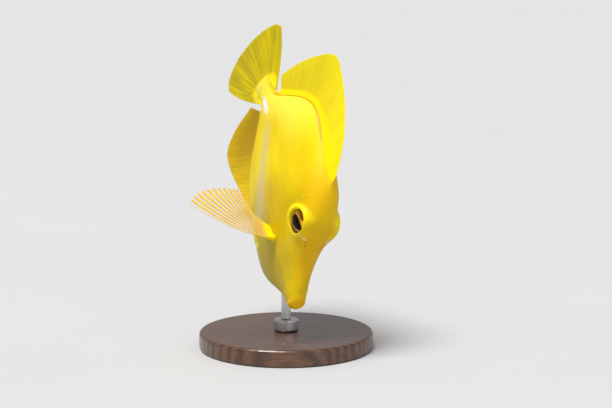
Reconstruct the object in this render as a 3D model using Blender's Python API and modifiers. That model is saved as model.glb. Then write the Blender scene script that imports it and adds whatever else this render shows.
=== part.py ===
"""Yellow tang (Zebrasoma flavescens), life size, diving nose first on a plain display stand.

The fish is built straight in its own frame: +X to the snout, +Y to its left side, +Z to its back.
Its forms are stated in fractions of the standard length, with s running from the snout tip (0) to
the root of the tail fin (1). The tail is then bent to the fish's right, and an empty turns the whole
fish into its dive above the stand.
"""

import math

import bmesh
import bpy
from mathutils import Euler, Matrix, Vector

STANDARD_LENGTH = 0.125
MIDDLE = 0.45           # the s that lies at the fish's own origin
GAP = 0.0003            # between pieces that meet
ROOT_GAP = 0.0004       # between a fin and the curved skin it stands on

# The dive: the fish faces the front of the stand and looks down.
HEADING = math.radians(-74.4)
DIVE = math.radians(53.2)
ROLL = math.radians(-18.5)
FISH_PLACE = (0.003, -0.010, 0.080)

# The tail swings to the fish's right, along one even curve.
SWING = math.radians(12.9)
SWING_START = 0.72
SWING_END = 1.0

# Side view of the body: (s, height) along the back and along the belly.
BACK = ((0.0, -0.080), (0.06, -0.028), (0.10, 0.001), (0.14, 0.039), (0.18, 0.098), (0.22, 0.168),
        (0.27, 0.228), (0.34, 0.276), (0.45, 0.300), (0.58, 0.313), (0.68, 0.312), (0.75, 0.288),
        (0.81, 0.238), (0.87, 0.158), (0.92, 0.082), (0.96, 0.059), (1.0, 0.060))
BELLY = ((0.0, -0.118), (0.05, -0.152), (0.10, -0.175), (0.15, -0.216), (0.20, -0.258),
         (0.26, -0.293), (0.34, -0.308), (0.44, -0.306), (0.56, -0.296), (0.68, -0.270),
         (0.77, -0.224), (0.85, -0.148), (0.91, -0.082), (0.96, -0.057), (1.0, -0.060))
# Top view: half the width, the height at which it is widest, and how full the section is.
HALF_WIDTH = ((0.0, 0.030), (0.05, 0.037), (0.10, 0.042), (0.16, 0.054), (0.22, 0.073),
              (0.30, 0.087), (0.40, 0.101), (0.52, 0.095), (0.66, 0.076), (0.80, 0.051),
              (0.90, 0.034), (1.0, 0.021))
WIDEST = ((0.0, -0.098), (0.08, -0.062), (0.16, 0.000), (0.24, 0.075), (0.32, 0.090),
          (0.45, 0.050), (0.65, 0.015), (1.0, 0.0))
FULL_UPPER = ((0.0, 2.0), (0.15, 2.1), (0.27, 2.35), (0.40, 2.1), (0.60, 1.85), (1.0, 1.9))
FULL_LOWER = ((0.0, 2.0), (0.08, 1.65), (0.20, 1.62), (0.42, 1.52), (0.60, 1.65), (1.0, 1.9))
SNOUT_ROUND = 0.024     # the snout tip is rounded over this part of the length
AROUND = 48
RINGS = 40

# The mouth: lips at the snout tip, with their line and corner.
LIP_SWELL = 0.07            # of the section round the lips
LIP_GROOVE = 0.035          # of the section behind them
MOUTH_HEIGHT = -0.101
MOUTH_CORNER = 0.040
MOUTH_FALL = 0.004          # of the mouth line, from the tip to its corner
CORNER_LEAN = (0.010, 0.006)    # of the lips' rear edge, above and below the corner
MOUTH_OPEN = 0.0006

# Rear edge of the head, from the nape down the gill cover to the throat, seen from the side.
HEAD_EDGE = ((0.358, 0.350), (0.355, 0.250), (0.350, 0.170), (0.340, 0.095), (0.308, 0.020),
             (0.281, -0.035), (0.262, -0.068), (0.238, -0.081), (0.205, -0.085), (0.155, -0.091),
             (0.105, -0.107), (0.070, -0.128), (0.054, -0.160), (0.050, -0.350))
BEYOND = 0.40           # a height that is clear of the body, for the outlines that cut it
GILL_COVER_RISE = 0.0005

PEDUNCLE_START = 0.872

EYE_PLACE = (0.271, 0.130)      # s and height of the eye's centre
EYE_DEPTH = 0.0072              # of its centre from the fish's middle plane
EYE_RADII = (0.0076, 0.0050, 0.0074)
EYE_TURN = math.radians(4.0)    # forward
EYE_LIFT = math.radians(4.0)    # up
MOUND_RADIUS = 0.0066           # round the eye the skin rises to one level
MOUND_REACH = 0.0106
MOUND_LEVEL = 0.0102
RIM_RADIUS = 0.0068
RIM_THICKNESS = 0.0009
RIM_DEPTH = 0.0030              # of the rim above the eye's centre

NOSTRILS = ((0.202, 0.110, 0.0006), (0.190, 0.102, 0.0008))     # s, height, radius
NOSTRIL_DEPTH = 0.0013

SPINE_PLACE = 0.909
SPINE_LENGTH = 0.0068
SPINE_HEIGHT = 0.0026
SPINE_THICKNESS = 0.0018
SPINE_TURN = math.radians(3.0)      # its front end away from the skin
SPINE_STAND = 0.0001                # of its middle line off the skin

# Fins: rays are ridges on the membrane, and both grow thin towards the edge.
RAY_THICKNESS = 0.0011
MEMBRANE_THICKNESS = 0.0006
ROOT_THICKNESS = 0.0020         # of the dorsal and the anal fin
TAIL_THICKNESS = 0.0034
SPREAD_THICKNESS = 0.0022
FOLDED_THICKNESS = 0.0012       # of the fins that lie against the body
EDGE_SHARE = 0.55               # of the thickness that is left at the outer edge
FLESHY_SHARE = 0.22             # of a ray, from its root, that is thickened by flesh
RAY_NOTCH = 0.975               # reach of the membrane between soft rays
SPINE_NOTCH = 0.93              # and between hard ones
FIN_ROWS = 6

# (place along the base 0 to 1, s, height) of the outer edge, and the bow of the rays.
DORSAL_BASE = (0.362, 0.918)
DORSAL_EDGE = ((0.0, 0.384, 0.326), (0.15, 0.475, 0.402), (0.35, 0.612, 0.466), (0.55, 0.750, 0.497),
               (0.70, 0.846, 0.494), (0.80, 0.906, 0.402), (0.90, 0.955, 0.268), (1.0, 0.982, 0.132))
DORSAL_SPINES = 5
DORSAL_RAYS = 29
ANAL_BASE = (0.500, 0.920)
ANAL_EDGE = ((0.0, 0.530, -0.332), (0.2, 0.632, -0.356), (0.4, 0.735, -0.392), (0.6, 0.838, -0.413),
             (0.75, 0.912, -0.390), (0.88, 0.958, -0.286), (1.0, 0.983, -0.133))
ANAL_SPINES = 3
ANAL_RAYS = 23
MEDIAN_BOW = 0.10
MEDIAN_LEAN = 1.2               # over 1, a ray leans back more towards its tip
MEDIAN_SWAY = 0.006
TAIL_EDGE = ((0.0, 1.152, 0.252), (0.12, 1.180, 0.216), (0.3, 1.204, 0.110), (0.5, 1.210, 0.0),
             (0.7, 1.204, -0.110), (0.88, 1.172, -0.216), (1.0, 1.138, -0.250))
TAIL_ROOT = 0.0605
TAIL_ROOT_START = 0.950         # its outermost rays begin on the edges of the peduncle
TAIL_WRAP = 0.10
TAIL_RAYS = 16
TAIL_BOW = 0.16
TAIL_SWAY = -0.012

# Pectoral fins: (share of the root from its front end, length) of the rays, and the way of the root
# in the side view. The right fin is spread, and the left one is folded back.
PECTORAL_PLACE = (0.312, -0.067)
PECTORAL_ROOT = 0.0076
PECTORAL_LIFT = 0.0050          # of its root off the flank, as a fraction of the standard length
SPREAD_ROOT = (0.93, -0.37)
SPREAD_FAN = (math.radians(16.8), math.radians(23.0), math.radians(15.6))
SPREAD_CUP = 0.020
SPREAD_BOW = 0.027              # the rays bend back on their way out
PECTORAL_LENGTHS = ((0.0, 0.394), (0.25, 0.368), (0.5, 0.308), (0.75, 0.243), (1.0, 0.196))
PECTORAL_RAYS = 15
FOLDED_ROOT = (0.6, -0.8)
FOLDED_FAN = (math.radians(12.0), math.radians(-46.0))
FOLDED_LIFT = (0.0070, 0.026)   # at its root, and gained on the way to the tip
FOLDED_LENGTHS = ((0.0, 0.290), (0.2, 0.300), (0.6, 0.240), (1.0, 0.120))
PELVIC_PLACE = (0.345, 0.372)
PELVIC_TURN = (math.radians(150.0), math.radians(161.0))    # round the body from the back
PELVIC_FAN = math.radians(8.0)
PELVIC_LIFT = 0.00095
PELVIC_LENGTHS = ((0.0, 0.185), (0.3, 0.175), (1.0, 0.080))
PELVIC_RAYS = 6

BASE_RADIUS = 0.046
BASE_HEIGHT = 0.009
COLLAR_RADIUS = 0.0065
COLLAR_HEIGHT = 0.006
ROD_RADIUS = 0.0025
ROD_TOP = 0.065                 # before it is cut to the skin that it carries

YELLOW = (0.93, 0.66, 0.02)
FIN_YELLOW = (0.90, 0.60, 0.03)
LIP_ORANGE = (0.88, 0.52, 0.05)
SPINE_WHITE = (0.92, 0.90, 0.84)
EYE_BROWN = (0.03, 0.02, 0.01)
DARK_WOOD = (0.16, 0.075, 0.035)
STEEL = (0.72, 0.72, 0.74)


def curve(points, at):
    """A smooth line through (place, value) points, read at a place."""
    if at <= points[0][0]:
        return points[0][1]
    if at >= points[-1][0]:
        return points[-1][1]
    i = 0
    while points[i + 1][0] < at:
        i += 1

    def slope(j):
        low = max(j - 1, 0)
        high = min(j + 1, len(points) - 1)
        return (points[high][1] - points[low][1]) / (points[high][0] - points[low][0])

    span = points[i + 1][0] - points[i][0]
    t = (at - points[i][0]) / span
    start, end = points[i][1], points[i + 1][1]
    return (start * (1 + 2 * t) * (1 - t) ** 2 + end * t * t * (3 - 2 * t)
            + slope(i) * span * t * (1 - t) ** 2 - slope(i + 1) * span * t * t * (1 - t))


def edge_curve(points, at):
    """The (s, height) of a fin's outer edge at a place along its base."""
    along = curve([(p[0], p[1]) for p in points], at)
    height = curve([(p[0], p[2]) for p in points], at)
    return along, height


def smooth_line(points, steps=3):
    """A smooth side-view line through its corner points."""
    along = [(i, p[0]) for i, p in enumerate(points)]
    heights = [(i, p[1]) for i, p in enumerate(points)]
    places = [i / steps for i in range((len(points) - 1) * steps + 1)]
    return [(curve(along, at), curve(heights, at)) for at in places]


def spot(s, side, height):
    """A point of the straight fish, in metres, from fractions of the standard length."""
    return Vector(((MIDDLE - s), side, height)) * STANDARD_LENGTH


def bent(point):
    """Carry a point of the straight fish along with the swing of its tail."""
    along = (MIDDLE * STANDARD_LENGTH - point.x) - SWING_START * STANDARD_LENGTH
    if along <= 0.0:
        return point.copy()
    reach = (SWING_END - SWING_START) * STANDARD_LENGTH
    bend = SWING / reach
    angle = bend * min(along, reach)
    back = SWING_START * STANDARD_LENGTH + math.sin(angle) / bend
    right = (1.0 - math.cos(angle)) / bend
    if along > reach:
        back += (along - reach) * math.cos(angle)
        right += (along - reach) * math.sin(angle)
    back += point.y * math.sin(angle)
    right -= point.y * math.cos(angle)
    return Vector((MIDDLE * STANDARD_LENGTH - back, -right, point.z))


def section(s):
    """Half width, widest height, rise above it, drop below it and both fullnesses at s."""
    size = 1.0
    if s < SNOUT_ROUND:
        size = math.sqrt(max(1.0 - (1.0 - s / SNOUT_ROUND) ** 2, 0.0))
    size *= 1.0 + LIP_SWELL * math.exp(-((s - 0.020) / 0.010) ** 2)
    size *= 1.0 - LIP_GROOVE * math.exp(-((s - 0.044) / 0.008) ** 2)
    middle = curve(WIDEST, s)
    return (curve(HALF_WIDTH, s) * size, middle, (curve(BACK, s) - middle) * size,
            (middle - curve(BELLY, s)) * size, curve(FULL_UPPER, s), curve(FULL_LOWER, s))


def flank(s, height):
    """Half the body's width at a height, as a fraction of the standard length."""
    width, middle, rise, drop, upper, lower = section(s)
    share = (height - middle) / rise if height > middle else (middle - height) / drop
    full = upper if height > middle else lower
    return width * max(1.0 - min(share, 1.0) ** full, 0.0) ** (1.0 / full)


def raised_round_eye(s, side, height):
    """The skin's distance from the middle plane in metres, raised to one level round the eye."""
    away = math.hypot(s - EYE_PLACE[0], height - EYE_PLACE[1]) * STANDARD_LENGTH
    share = min(max((MOUND_REACH - away) / (MOUND_REACH - MOUND_RADIUS), 0.0), 1.0)
    share = share * share * (3.0 - 2.0 * share)
    low = side * STANDARD_LENGTH
    return low + max(MOUND_LEVEL - low, 0.0) * share * min(low / 0.004, 1.0)


def skin(s, turn):
    """A point of the skin, turned round from the back (0) by the left flank to the belly (pi)."""
    width, middle, rise, drop, upper, lower = section(s)
    up, side = math.cos(turn), math.sin(turn)
    full = upper if up > 0.0 else lower
    reach = rise if up > 0.0 else drop
    across = abs(side) ** (2.0 / full) * width
    height = middle + math.copysign(abs(up) ** (2.0 / full), up) * reach
    place = spot(s, 0.0, height)
    place.y = math.copysign(raised_round_eye(s, across, height), side)
    return place


def over_skin(s, turn, lift):
    """A point lifted off the skin by a length in metres."""
    place = skin(s, turn)
    out = Vector((1.0, 0.0, 0.0)).cross(skin(s, turn + 0.02) - skin(s, turn - 0.02))
    return place + out.normalized() * lift


def ring_places():
    """Places of the loft's rings: close together over the rounded snout, then wider apart."""
    rounded = [SNOUT_ROUND * (1.0 - math.cos(math.radians(a))) for a in (18, 36, 54, 72, 90)]
    rest = [SNOUT_ROUND + (1.0 - SNOUT_ROUND) * (i / RINGS) ** 1.25 for i in range(1, RINGS + 1)]
    return rounded + rest


def new_object(name, mesh):
    thing = bpy.data.objects.new(name, mesh)
    model.objects.link(thing)
    return thing


def body_loft(name, swell=0.0, lift=0.0):
    """The whole body in one closed mesh, swollen sideways or lifted all round by a length in metres."""
    shape = bmesh.new()
    rings = []
    for s in ring_places():
        ring = []
        for i in range(AROUND):
            turn = 2.0 * math.pi * i / AROUND
            place = over_skin(s, turn, lift) if lift else skin(s, turn)
            place.y += swell * math.sin(turn) * min(s / 0.1, 1.0)
            ring.append(shape.verts.new(place))
        rings.append(ring)
    tip = shape.verts.new(spot(0.0, 0.0, curve(WIDEST, 0.0)))
    for i in range(AROUND):
        shape.faces.new((tip, rings[0][(i + 1) % AROUND], rings[0][i]))
    for front, rear in zip(rings, rings[1:]):
        for i in range(AROUND):
            j = (i + 1) % AROUND
            shape.faces.new((front[i], front[j], rear[j], rear[i]))
    shape.faces.new(rings[-1])
    bmesh.ops.recalc_face_normals(shape, faces=shape.faces)
    mesh = bpy.data.meshes.new(name)
    shape.to_mesh(mesh)
    shape.free()
    return new_object(name, mesh)


def prism(name, outline, grow=0.0):
    """A slab right through the fish, from a side-view outline grown by a length in metres."""
    points = [Vector((-s * STANDARD_LENGTH, z * STANDARD_LENGTH)) for s, z in outline]
    area = sum(a.x * b.y - b.x * a.y for a, b in zip(points, points[1:] + points[:1]))
    sign = 1.0 if area > 0.0 else -1.0
    shape = bmesh.new()
    corners = []
    for i, point in enumerate(points):
        before = (point - points[i - 1]).normalized()
        after = (points[(i + 1) % len(points)] - point).normalized()
        out = Vector((before.y + after.y, -before.x - after.x)) * sign
        out /= max(1.0 + before.dot(after), 0.3)
        moved = point + out * grow
        corners.append(shape.verts.new((moved.x + MIDDLE * STANDARD_LENGTH, -0.05, moved.y)))
    side = shape.faces.new(corners)
    grown = bmesh.ops.extrude_face_region(shape, geom=[side])
    far = [v for v in grown["geom"] if isinstance(v, bmesh.types.BMVert)]
    bmesh.ops.translate(shape, verts=far, vec=(0.0, 0.10, 0.0))
    bmesh.ops.recalc_face_normals(shape, faces=shape.faces)
    mesh = bpy.data.meshes.new(name)
    shape.to_mesh(mesh)
    shape.free()
    return new_object(name, mesh)


def ball(name, place, radii, turn=None, segments=20, rings=12):
    """An ellipsoid with its applied size, at a place in the straight fish."""
    shape = bmesh.new()
    bmesh.ops.create_uvsphere(shape, u_segments=segments, v_segments=rings, radius=1.0)
    bmesh.ops.rotate(shape, verts=shape.verts, matrix=Matrix.Rotation(math.pi / 2, 3, 'X'))
    bmesh.ops.scale(shape, verts=shape.verts, vec=radii)
    if turn:
        bmesh.ops.rotate(shape, verts=shape.verts, matrix=turn)
    bmesh.ops.translate(shape, verts=shape.verts, vec=place)
    mesh = bpy.data.meshes.new(name)
    shape.to_mesh(mesh)
    shape.free()
    return new_object(name, mesh)


def apply_modifiers(thing):
    """Replace an object's mesh by what its modifiers make of it."""
    bpy.context.view_layer.update()
    seen = thing.evaluated_get(bpy.context.evaluated_depsgraph_get())
    mesh = bpy.data.meshes.new_from_object(seen)
    thing.modifiers.clear()
    thing.data = mesh


def combine(thing, tool, operation):
    """One Boolean step with a tool object, which is then removed."""
    step = thing.modifiers.new("combine", 'BOOLEAN')
    step.object = tool
    step.operation = operation
    step.solver = 'EXACT'
    apply_modifiers(thing)
    bpy.data.objects.remove(tool)


def paint(thing, colour, roughness, metallic=0.0):
    name = thing.name + "_finish"
    finish = bpy.data.materials.new(name)
    finish.use_nodes = True
    surface = finish.node_tree.nodes["Principled BSDF"]
    surface.inputs["Base Color"].default_value = (*colour, 1.0)
    surface.inputs["Roughness"].default_value = roughness
    surface.inputs["Metallic"].default_value = metallic
    thing.data.materials.clear()
    thing.data.materials.append(finish)


def largest_surface(thing):
    """Keep the largest closed surface that a chain of cuts has left."""
    shape = bmesh.new()
    shape.from_mesh(thing.data)
    groups = []
    left = set(shape.faces)
    while left:
        group = set()
        front = [left.pop()]
        while front:
            face = front.pop()
            group.add(face)
            for edge in face.edges:
                for other in edge.link_faces:
                    if other in left:
                        left.discard(other)
                        front.append(other)
        groups.append(group)
    groups.sort(key=lambda g: sum(f.calc_area() for f in g))
    for group in groups[:-1]:
        bmesh.ops.delete(shape, geom=list(group), context='FACES')
    shape.to_mesh(thing.data)
    shape.free()


def finish_flesh(thing, colour=YELLOW, roughness=0.42):
    """Triangulate a cut piece, bend it with the tail and hang it on the turned fish."""
    largest_surface(thing)
    shape = bmesh.new()
    shape.from_mesh(thing.data)
    bmesh.ops.triangulate(shape, faces=shape.faces)
    for vertex in shape.verts:
        vertex.co = bent(vertex.co)
    shape.to_mesh(thing.data)
    shape.free()
    paint(thing, colour, roughness)
    thing.data.shade_smooth()
    thing.data.set_sharp_from_angle(angle=math.radians(40.0))
    thing.parent = fish


def ray_fin(name, rays, point, root):
    """A fin from a sheet with two columns to a ray, thick along each ray and thin between them."""
    columns = 2 * (rays - 1)
    shape = bmesh.new()
    bmesh.ops.create_grid(shape, x_segments=columns, y_segments=FIN_ROWS, size=0.5)
    weights = {}
    for vertex in shape.verts:
        column = round((vertex.co.x + 0.5) * columns)
        along = vertex.co.y + 0.5
        ray = column % 2 == 0
        base = RAY_THICKNESS if ray else MEMBRANE_THICKNESS
        fleshy = max(1.0 - along / FLESHY_SHARE, 0.0) ** 1.5
        thickness = base * (1.0 - (1.0 - EDGE_SHARE) * along ** 2) * (1.0 - fleshy) + root * fleshy
        weights[vertex.index] = thickness / root
        vertex.co = point(column / columns, along, ray)
    bmesh.ops.triangulate(shape, faces=shape.faces)
    mesh = bpy.data.meshes.new(name)
    shape.to_mesh(mesh)
    shape.free()
    thing = new_object(name, mesh)
    group = thing.vertex_groups.new(name="thickness")
    for index, weight in weights.items():
        group.add([index], weight, 'REPLACE')
    solid = thing.modifiers.new("thickness", 'SOLIDIFY')
    solid.thickness = root
    solid.offset = 0.0
    solid.vertex_group = group.name
    solid.thickness_vertex_group = 0.0
    paint(thing, FIN_YELLOW, 0.38)
    thing.parent = fish


def median_fin(name, rays, spines, base, edge, profile, side):
    """A fin on the back (side 1) or the belly (side -1), rooted along the body's own outline."""
    def point(place, along, ray):
        s = base[0] + (base[1] - base[0]) * place
        foot = curve(profile, s) + side * ROOT_GAP / STANDARD_LENGTH
        tip_s, tip_height = edge_curve(edge, place)
        spine = place * (rays - 1) < spines - 0.5
        notch = 1.0 if ray else (SPINE_NOTCH if spine else RAY_NOTCH)
        reach = along * notch
        bow = MEDIAN_BOW * reach * (1.0 - reach) * (tip_height - foot)
        back = s + (tip_s - s) * (reach ** MEDIAN_LEAN)
        sway = MEDIAN_SWAY * math.sin(math.pi * (1.6 * place + 0.2)) * along ** 2
        return bent(spot(back, sway, foot + (tip_height - foot) * reach + bow))
    ray_fin(name, rays, point, ROOT_THICKNESS)


def tail_fin_point(place, along, ray):
    """The tail fin fans out from the end of the peduncle."""
    half = 2.0 * abs(place - 0.5)
    wrap = max(half - 1.0 + TAIL_WRAP, 0.0) / TAIL_WRAP
    root_s = 1.0 + ROOT_GAP / STANDARD_LENGTH - (1.0 - TAIL_ROOT_START) * wrap
    root_height = math.copysign(TAIL_ROOT * min(half / (1.0 - TAIL_WRAP), 1.0), 0.5 - place)
    root_height += math.copysign(ROOT_GAP / STANDARD_LENGTH, root_height)
    tip_s, tip_height = edge_curve(TAIL_EDGE, place)
    notch = 1.0 if ray else RAY_NOTCH
    reach = along * notch
    bow = TAIL_BOW * reach * (1.0 - reach) * (0.5 - place) * half
    s = root_s + (tip_s - root_s) * reach
    height = root_height + (tip_height - root_height) * reach + bow
    sway = TAIL_SWAY * along ** 2 * math.cos(math.pi * (place - 0.3))
    return bent(spot(s, sway, height))


def pectoral_root(place, way):
    """The (s, height) of a place along a pectoral fin's root, which lies a given way in the side view."""
    along = (place - 0.5) * PECTORAL_ROOT / STANDARD_LENGTH
    return PECTORAL_PLACE[0] + way[0] * along, PECTORAL_PLACE[1] + way[1] * along


def pectoral_point(place, along, ray):
    """The right pectoral fin, spread wide, with its rays swept back towards their tips."""
    s, height = pectoral_root(place, SPREAD_ROOT)
    root = Vector((s, -flank(s, height) - GAP / STANDARD_LENGTH - PECTORAL_LIFT, height))
    fan = SPREAD_FAN[0] + SPREAD_FAN[1] * place + SPREAD_FAN[2] * place ** 2
    direction = Vector((math.sin(fan), -math.cos(fan), 0.0))
    forward = Vector((-math.cos(fan), -math.sin(fan), 0.0))
    notch = 1.0 if ray else RAY_NOTCH
    length = curve(PECTORAL_LENGTHS, place) * along * notch
    point = root + direction * length + forward * SPREAD_BOW * math.sin(math.pi * along)
    cup = SPREAD_CUP * math.sin(math.pi * place) * along
    return bent(spot(point.x, point.y, point.z + cup))


def folded_pectoral_point(place, along, ray):
    """The left pectoral fin, laid back along the flank."""
    s, height = pectoral_root(place, FOLDED_ROOT)
    fan = FOLDED_FAN[0] + FOLDED_FAN[1] * place
    notch = 1.0 if ray else RAY_NOTCH
    length = curve(FOLDED_LENGTHS, place) * along * notch
    s += math.cos(fan) * length
    height += math.sin(fan) * length
    lift = FOLDED_LIFT[0] + FOLDED_LIFT[1] * along
    return bent(spot(s, flank(s, height) + GAP / STANDARD_LENGTH + lift, height))


def pelvic_point(side):
    """A pelvic fin, folded back along the belly on one side."""
    def point(place, along, ray):
        notch = 1.0 if ray else RAY_NOTCH
        s = PELVIC_PLACE[0] + (PELVIC_PLACE[1] - PELVIC_PLACE[0]) * place
        s += curve(PELVIC_LENGTHS, place) * along * notch
        turn = PELVIC_TURN[0] + (PELVIC_TURN[1] - PELVIC_TURN[0]) * place
        turn -= PELVIC_FAN * (1.0 - place) * along
        return bent(over_skin(s, side * turn, PELVIC_LIFT))
    return point


def turned_eye(side):
    """How the right (-1) or left (1) eye is turned in its socket."""
    return Euler((side * EYE_LIFT, 0.0, -side * EYE_TURN)).to_matrix()


def build_head():
    head = body_loft("head", swell=GILL_COVER_RISE)
    outline = [(MOUTH_CORNER - CORNER_LEAN[1], -BEYOND), (MOUTH_CORNER, MOUTH_HEIGHT - MOUTH_FALL),
               (MOUTH_CORNER - CORNER_LEAN[0], BEYOND)] + smooth_line(HEAD_EDGE)
    combine(head, prism("head_part", outline, -GAP / 2.0), 'INTERSECT')
    for side in (-1, 1):
        place = spot(EYE_PLACE[0], 0.0, EYE_PLACE[1])
        place.y = side * EYE_DEPTH
        turn = turned_eye(side)
        bpy.ops.mesh.primitive_torus_add(major_segments=24, minor_segments=6, major_radius=RIM_RADIUS,
                                         minor_radius=RIM_THICKNESS)
        rim = bpy.context.active_object
        axis = Vector((0.0, side, 0.0))
        axis.rotate(turn)
        upright = turn.to_4x4() @ Matrix.Rotation(math.pi / 2, 4, 'X')
        rim.matrix_world = Matrix.Translation(place + axis * RIM_DEPTH) @ upright
        combine(head, rim, 'UNION')
        socket = [r + GAP for r in EYE_RADII]
        combine(head, ball("socket_cutter", place, socket, turn, 22, 10), 'DIFFERENCE')
        for s, height, radius in NOSTRILS:
            bpy.ops.mesh.primitive_cylinder_add(vertices=12, radius=radius, depth=2 * NOSTRIL_DEPTH)
            hole = bpy.context.active_object
            mouth = spot(s, 0.0, height)
            mouth.y = side * (raised_round_eye(s, flank(s, height), height) + GILL_COVER_RISE)
            hole.matrix_world = Matrix.Translation(mouth) @ Matrix.Rotation(math.pi / 2, 4, 'X')
            combine(head, hole, 'DIFFERENCE')
    finish_flesh(head)


def build_lips():
    opening = (MOUTH_OPEN - GAP) / STANDARD_LENGTH / 2.0
    corner = MOUTH_HEIGHT - MOUTH_FALL
    upper = [(-0.05, MOUTH_HEIGHT + opening), (MOUTH_CORNER, corner + opening),
             (MOUTH_CORNER - CORNER_LEAN[0], BEYOND), (-0.05, BEYOND)]
    lower = [(-0.05, MOUTH_HEIGHT - opening), (-0.05, -BEYOND), (MOUTH_CORNER - CORNER_LEAN[1], -BEYOND),
             (MOUTH_CORNER, corner - opening)]
    for name, outline in (("upper_lip", upper), ("lower_lip", lower)):
        lip = body_loft(name)
        combine(lip, prism("lip_part", outline, -GAP / 2.0), 'INTERSECT')
        finish_flesh(lip, LIP_ORANGE, 0.35)


def build_torso():
    torso = body_loft("torso")
    outline = smooth_line(HEAD_EDGE) + [(PEDUNCLE_START, -BEYOND), (PEDUNCLE_START, BEYOND)]
    combine(torso, prism("torso_part", outline, -GAP / 2.0), 'INTERSECT')
    finish_flesh(torso)


def build_peduncle():
    peduncle = body_loft("tail_peduncle")
    outline = [(PEDUNCLE_START, -BEYOND), (PEDUNCLE_START, BEYOND), (1.2, BEYOND), (1.2, -BEYOND)]
    combine(peduncle, prism("peduncle_part", outline, -GAP / 2.0), 'INTERSECT')
    for side, name in ((-1, "caudal_spine_right"), (1, "caudal_spine_left")):
        place = spot(SPINE_PLACE, 0.0, 0.0)
        place.y = side * (flank(SPINE_PLACE, 0.0) * STANDARD_LENGTH + SPINE_STAND)
        radii = Vector((SPINE_LENGTH, SPINE_THICKNESS, SPINE_HEIGHT)) / 2.0
        turn = Matrix.Rotation(side * SPINE_TURN, 3, 'Z')
        groove = ball("groove_cutter", place, radii + Vector((GAP, GAP, GAP)), turn, 16, 8)
        combine(peduncle, groove, 'DIFFERENCE')
        spine = ball(name, place, radii, turn, 16, 8)
        finish_flesh(spine, SPINE_WHITE, 0.3)
    finish_flesh(peduncle)


def build_eyes():
    for side, name in ((-1, "eye_right"), (1, "eye_left")):
        place = spot(EYE_PLACE[0], 0.0, EYE_PLACE[1])
        place.y = side * EYE_DEPTH
        eye = ball(name, place, EYE_RADII, turned_eye(side), 20, 10)
        finish_flesh(eye, EYE_BROWN, 0.08)


def build_fins():
    median_fin("dorsal_fin", DORSAL_RAYS, DORSAL_SPINES, DORSAL_BASE, DORSAL_EDGE, BACK, 1)
    median_fin("anal_fin", ANAL_RAYS, ANAL_SPINES, ANAL_BASE, ANAL_EDGE, BELLY, -1)
    ray_fin("caudal_fin", TAIL_RAYS, tail_fin_point, TAIL_THICKNESS)
    ray_fin("pectoral_fin_right", PECTORAL_RAYS, pectoral_point, SPREAD_THICKNESS)
    ray_fin("pectoral_fin_left", PECTORAL_RAYS, folded_pectoral_point, FOLDED_THICKNESS)
    ray_fin("pelvic_fin_right", PELVIC_RAYS, pelvic_point(-1), FOLDED_THICKNESS)
    ray_fin("pelvic_fin_left", PELVIC_RAYS, pelvic_point(1), FOLDED_THICKNESS)


def build_stand(pose):
    bpy.ops.mesh.primitive_cylinder_add(vertices=64, radius=BASE_RADIUS, depth=BASE_HEIGHT)
    base = bpy.context.active_object
    base.name = "stand_base"
    base.location.z = BASE_HEIGHT / 2.0
    rounding = base.modifiers.new("rounding", 'BEVEL')
    rounding.width = 0.0015
    rounding.segments = 3
    rounding.limit_method = 'ANGLE'
    paint(base, DARK_WOOD, 0.4)
    bpy.ops.mesh.primitive_cylinder_add(vertices=36, radius=COLLAR_RADIUS, depth=COLLAR_HEIGHT)
    collar = bpy.context.active_object
    collar.name = "stand_collar"
    collar.location.z = BASE_HEIGHT + GAP + COLLAR_HEIGHT / 2.0
    chamfer = collar.modifiers.new("chamfer", 'BEVEL')
    chamfer.width = 0.0008
    chamfer.segments = 2
    chamfer.limit_method = 'ANGLE'
    paint(collar, STEEL, 0.25, 1.0)
    foot = BASE_HEIGHT + COLLAR_HEIGHT + 2.0 * GAP
    bpy.ops.mesh.primitive_cylinder_add(vertices=24, radius=ROD_RADIUS, depth=ROD_TOP - foot)
    rod = bpy.context.active_object
    rod.name = "stand_rod"
    rod.location.z = (ROD_TOP + foot) / 2.0
    body = body_loft("rod_cutter", lift=GAP)
    body.matrix_world = pose
    combine(rod, body, 'DIFFERENCE')
    largest_surface(rod)
    paint(rod, STEEL, 0.25, 1.0)
    for piece in (base, rod, collar):
        piece.data.shade_smooth()
        piece.data.set_sharp_from_angle(angle=math.radians(35.0))


for old in list(bpy.data.objects):
    bpy.data.objects.remove(old)
model = bpy.data.collections.new("yellow_tang")
bpy.context.scene.collection.children.link(model)
layers = bpy.context.view_layer.layer_collection.children
bpy.context.view_layer.active_layer_collection = layers[model.name]

fish = bpy.data.objects.new("fish_pose", None)
model.objects.link(fish)
fish_pose = Matrix.Translation(FISH_PLACE) @ Euler((ROLL, DIVE, HEADING)).to_matrix().to_4x4()
fish.matrix_world = fish_pose

build_head()
build_lips()
build_torso()
build_peduncle()
build_eyes()
build_fins()
build_stand(fish_pose)
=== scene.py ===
"""The looks of the yellow tang on its display stand.

The skin, the eyes, the spines at the root of the tail and the fins are built in the fish's own
straight frame, from the same named forms as the solids: +X to the snout, +Y to its left side and +Z
to its back, with s from the snout tip (0) to the root of the tail fin (1). The tail is then bent, and
the fish is turned into its dive.
"""

import math
from collections import namedtuple

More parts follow.
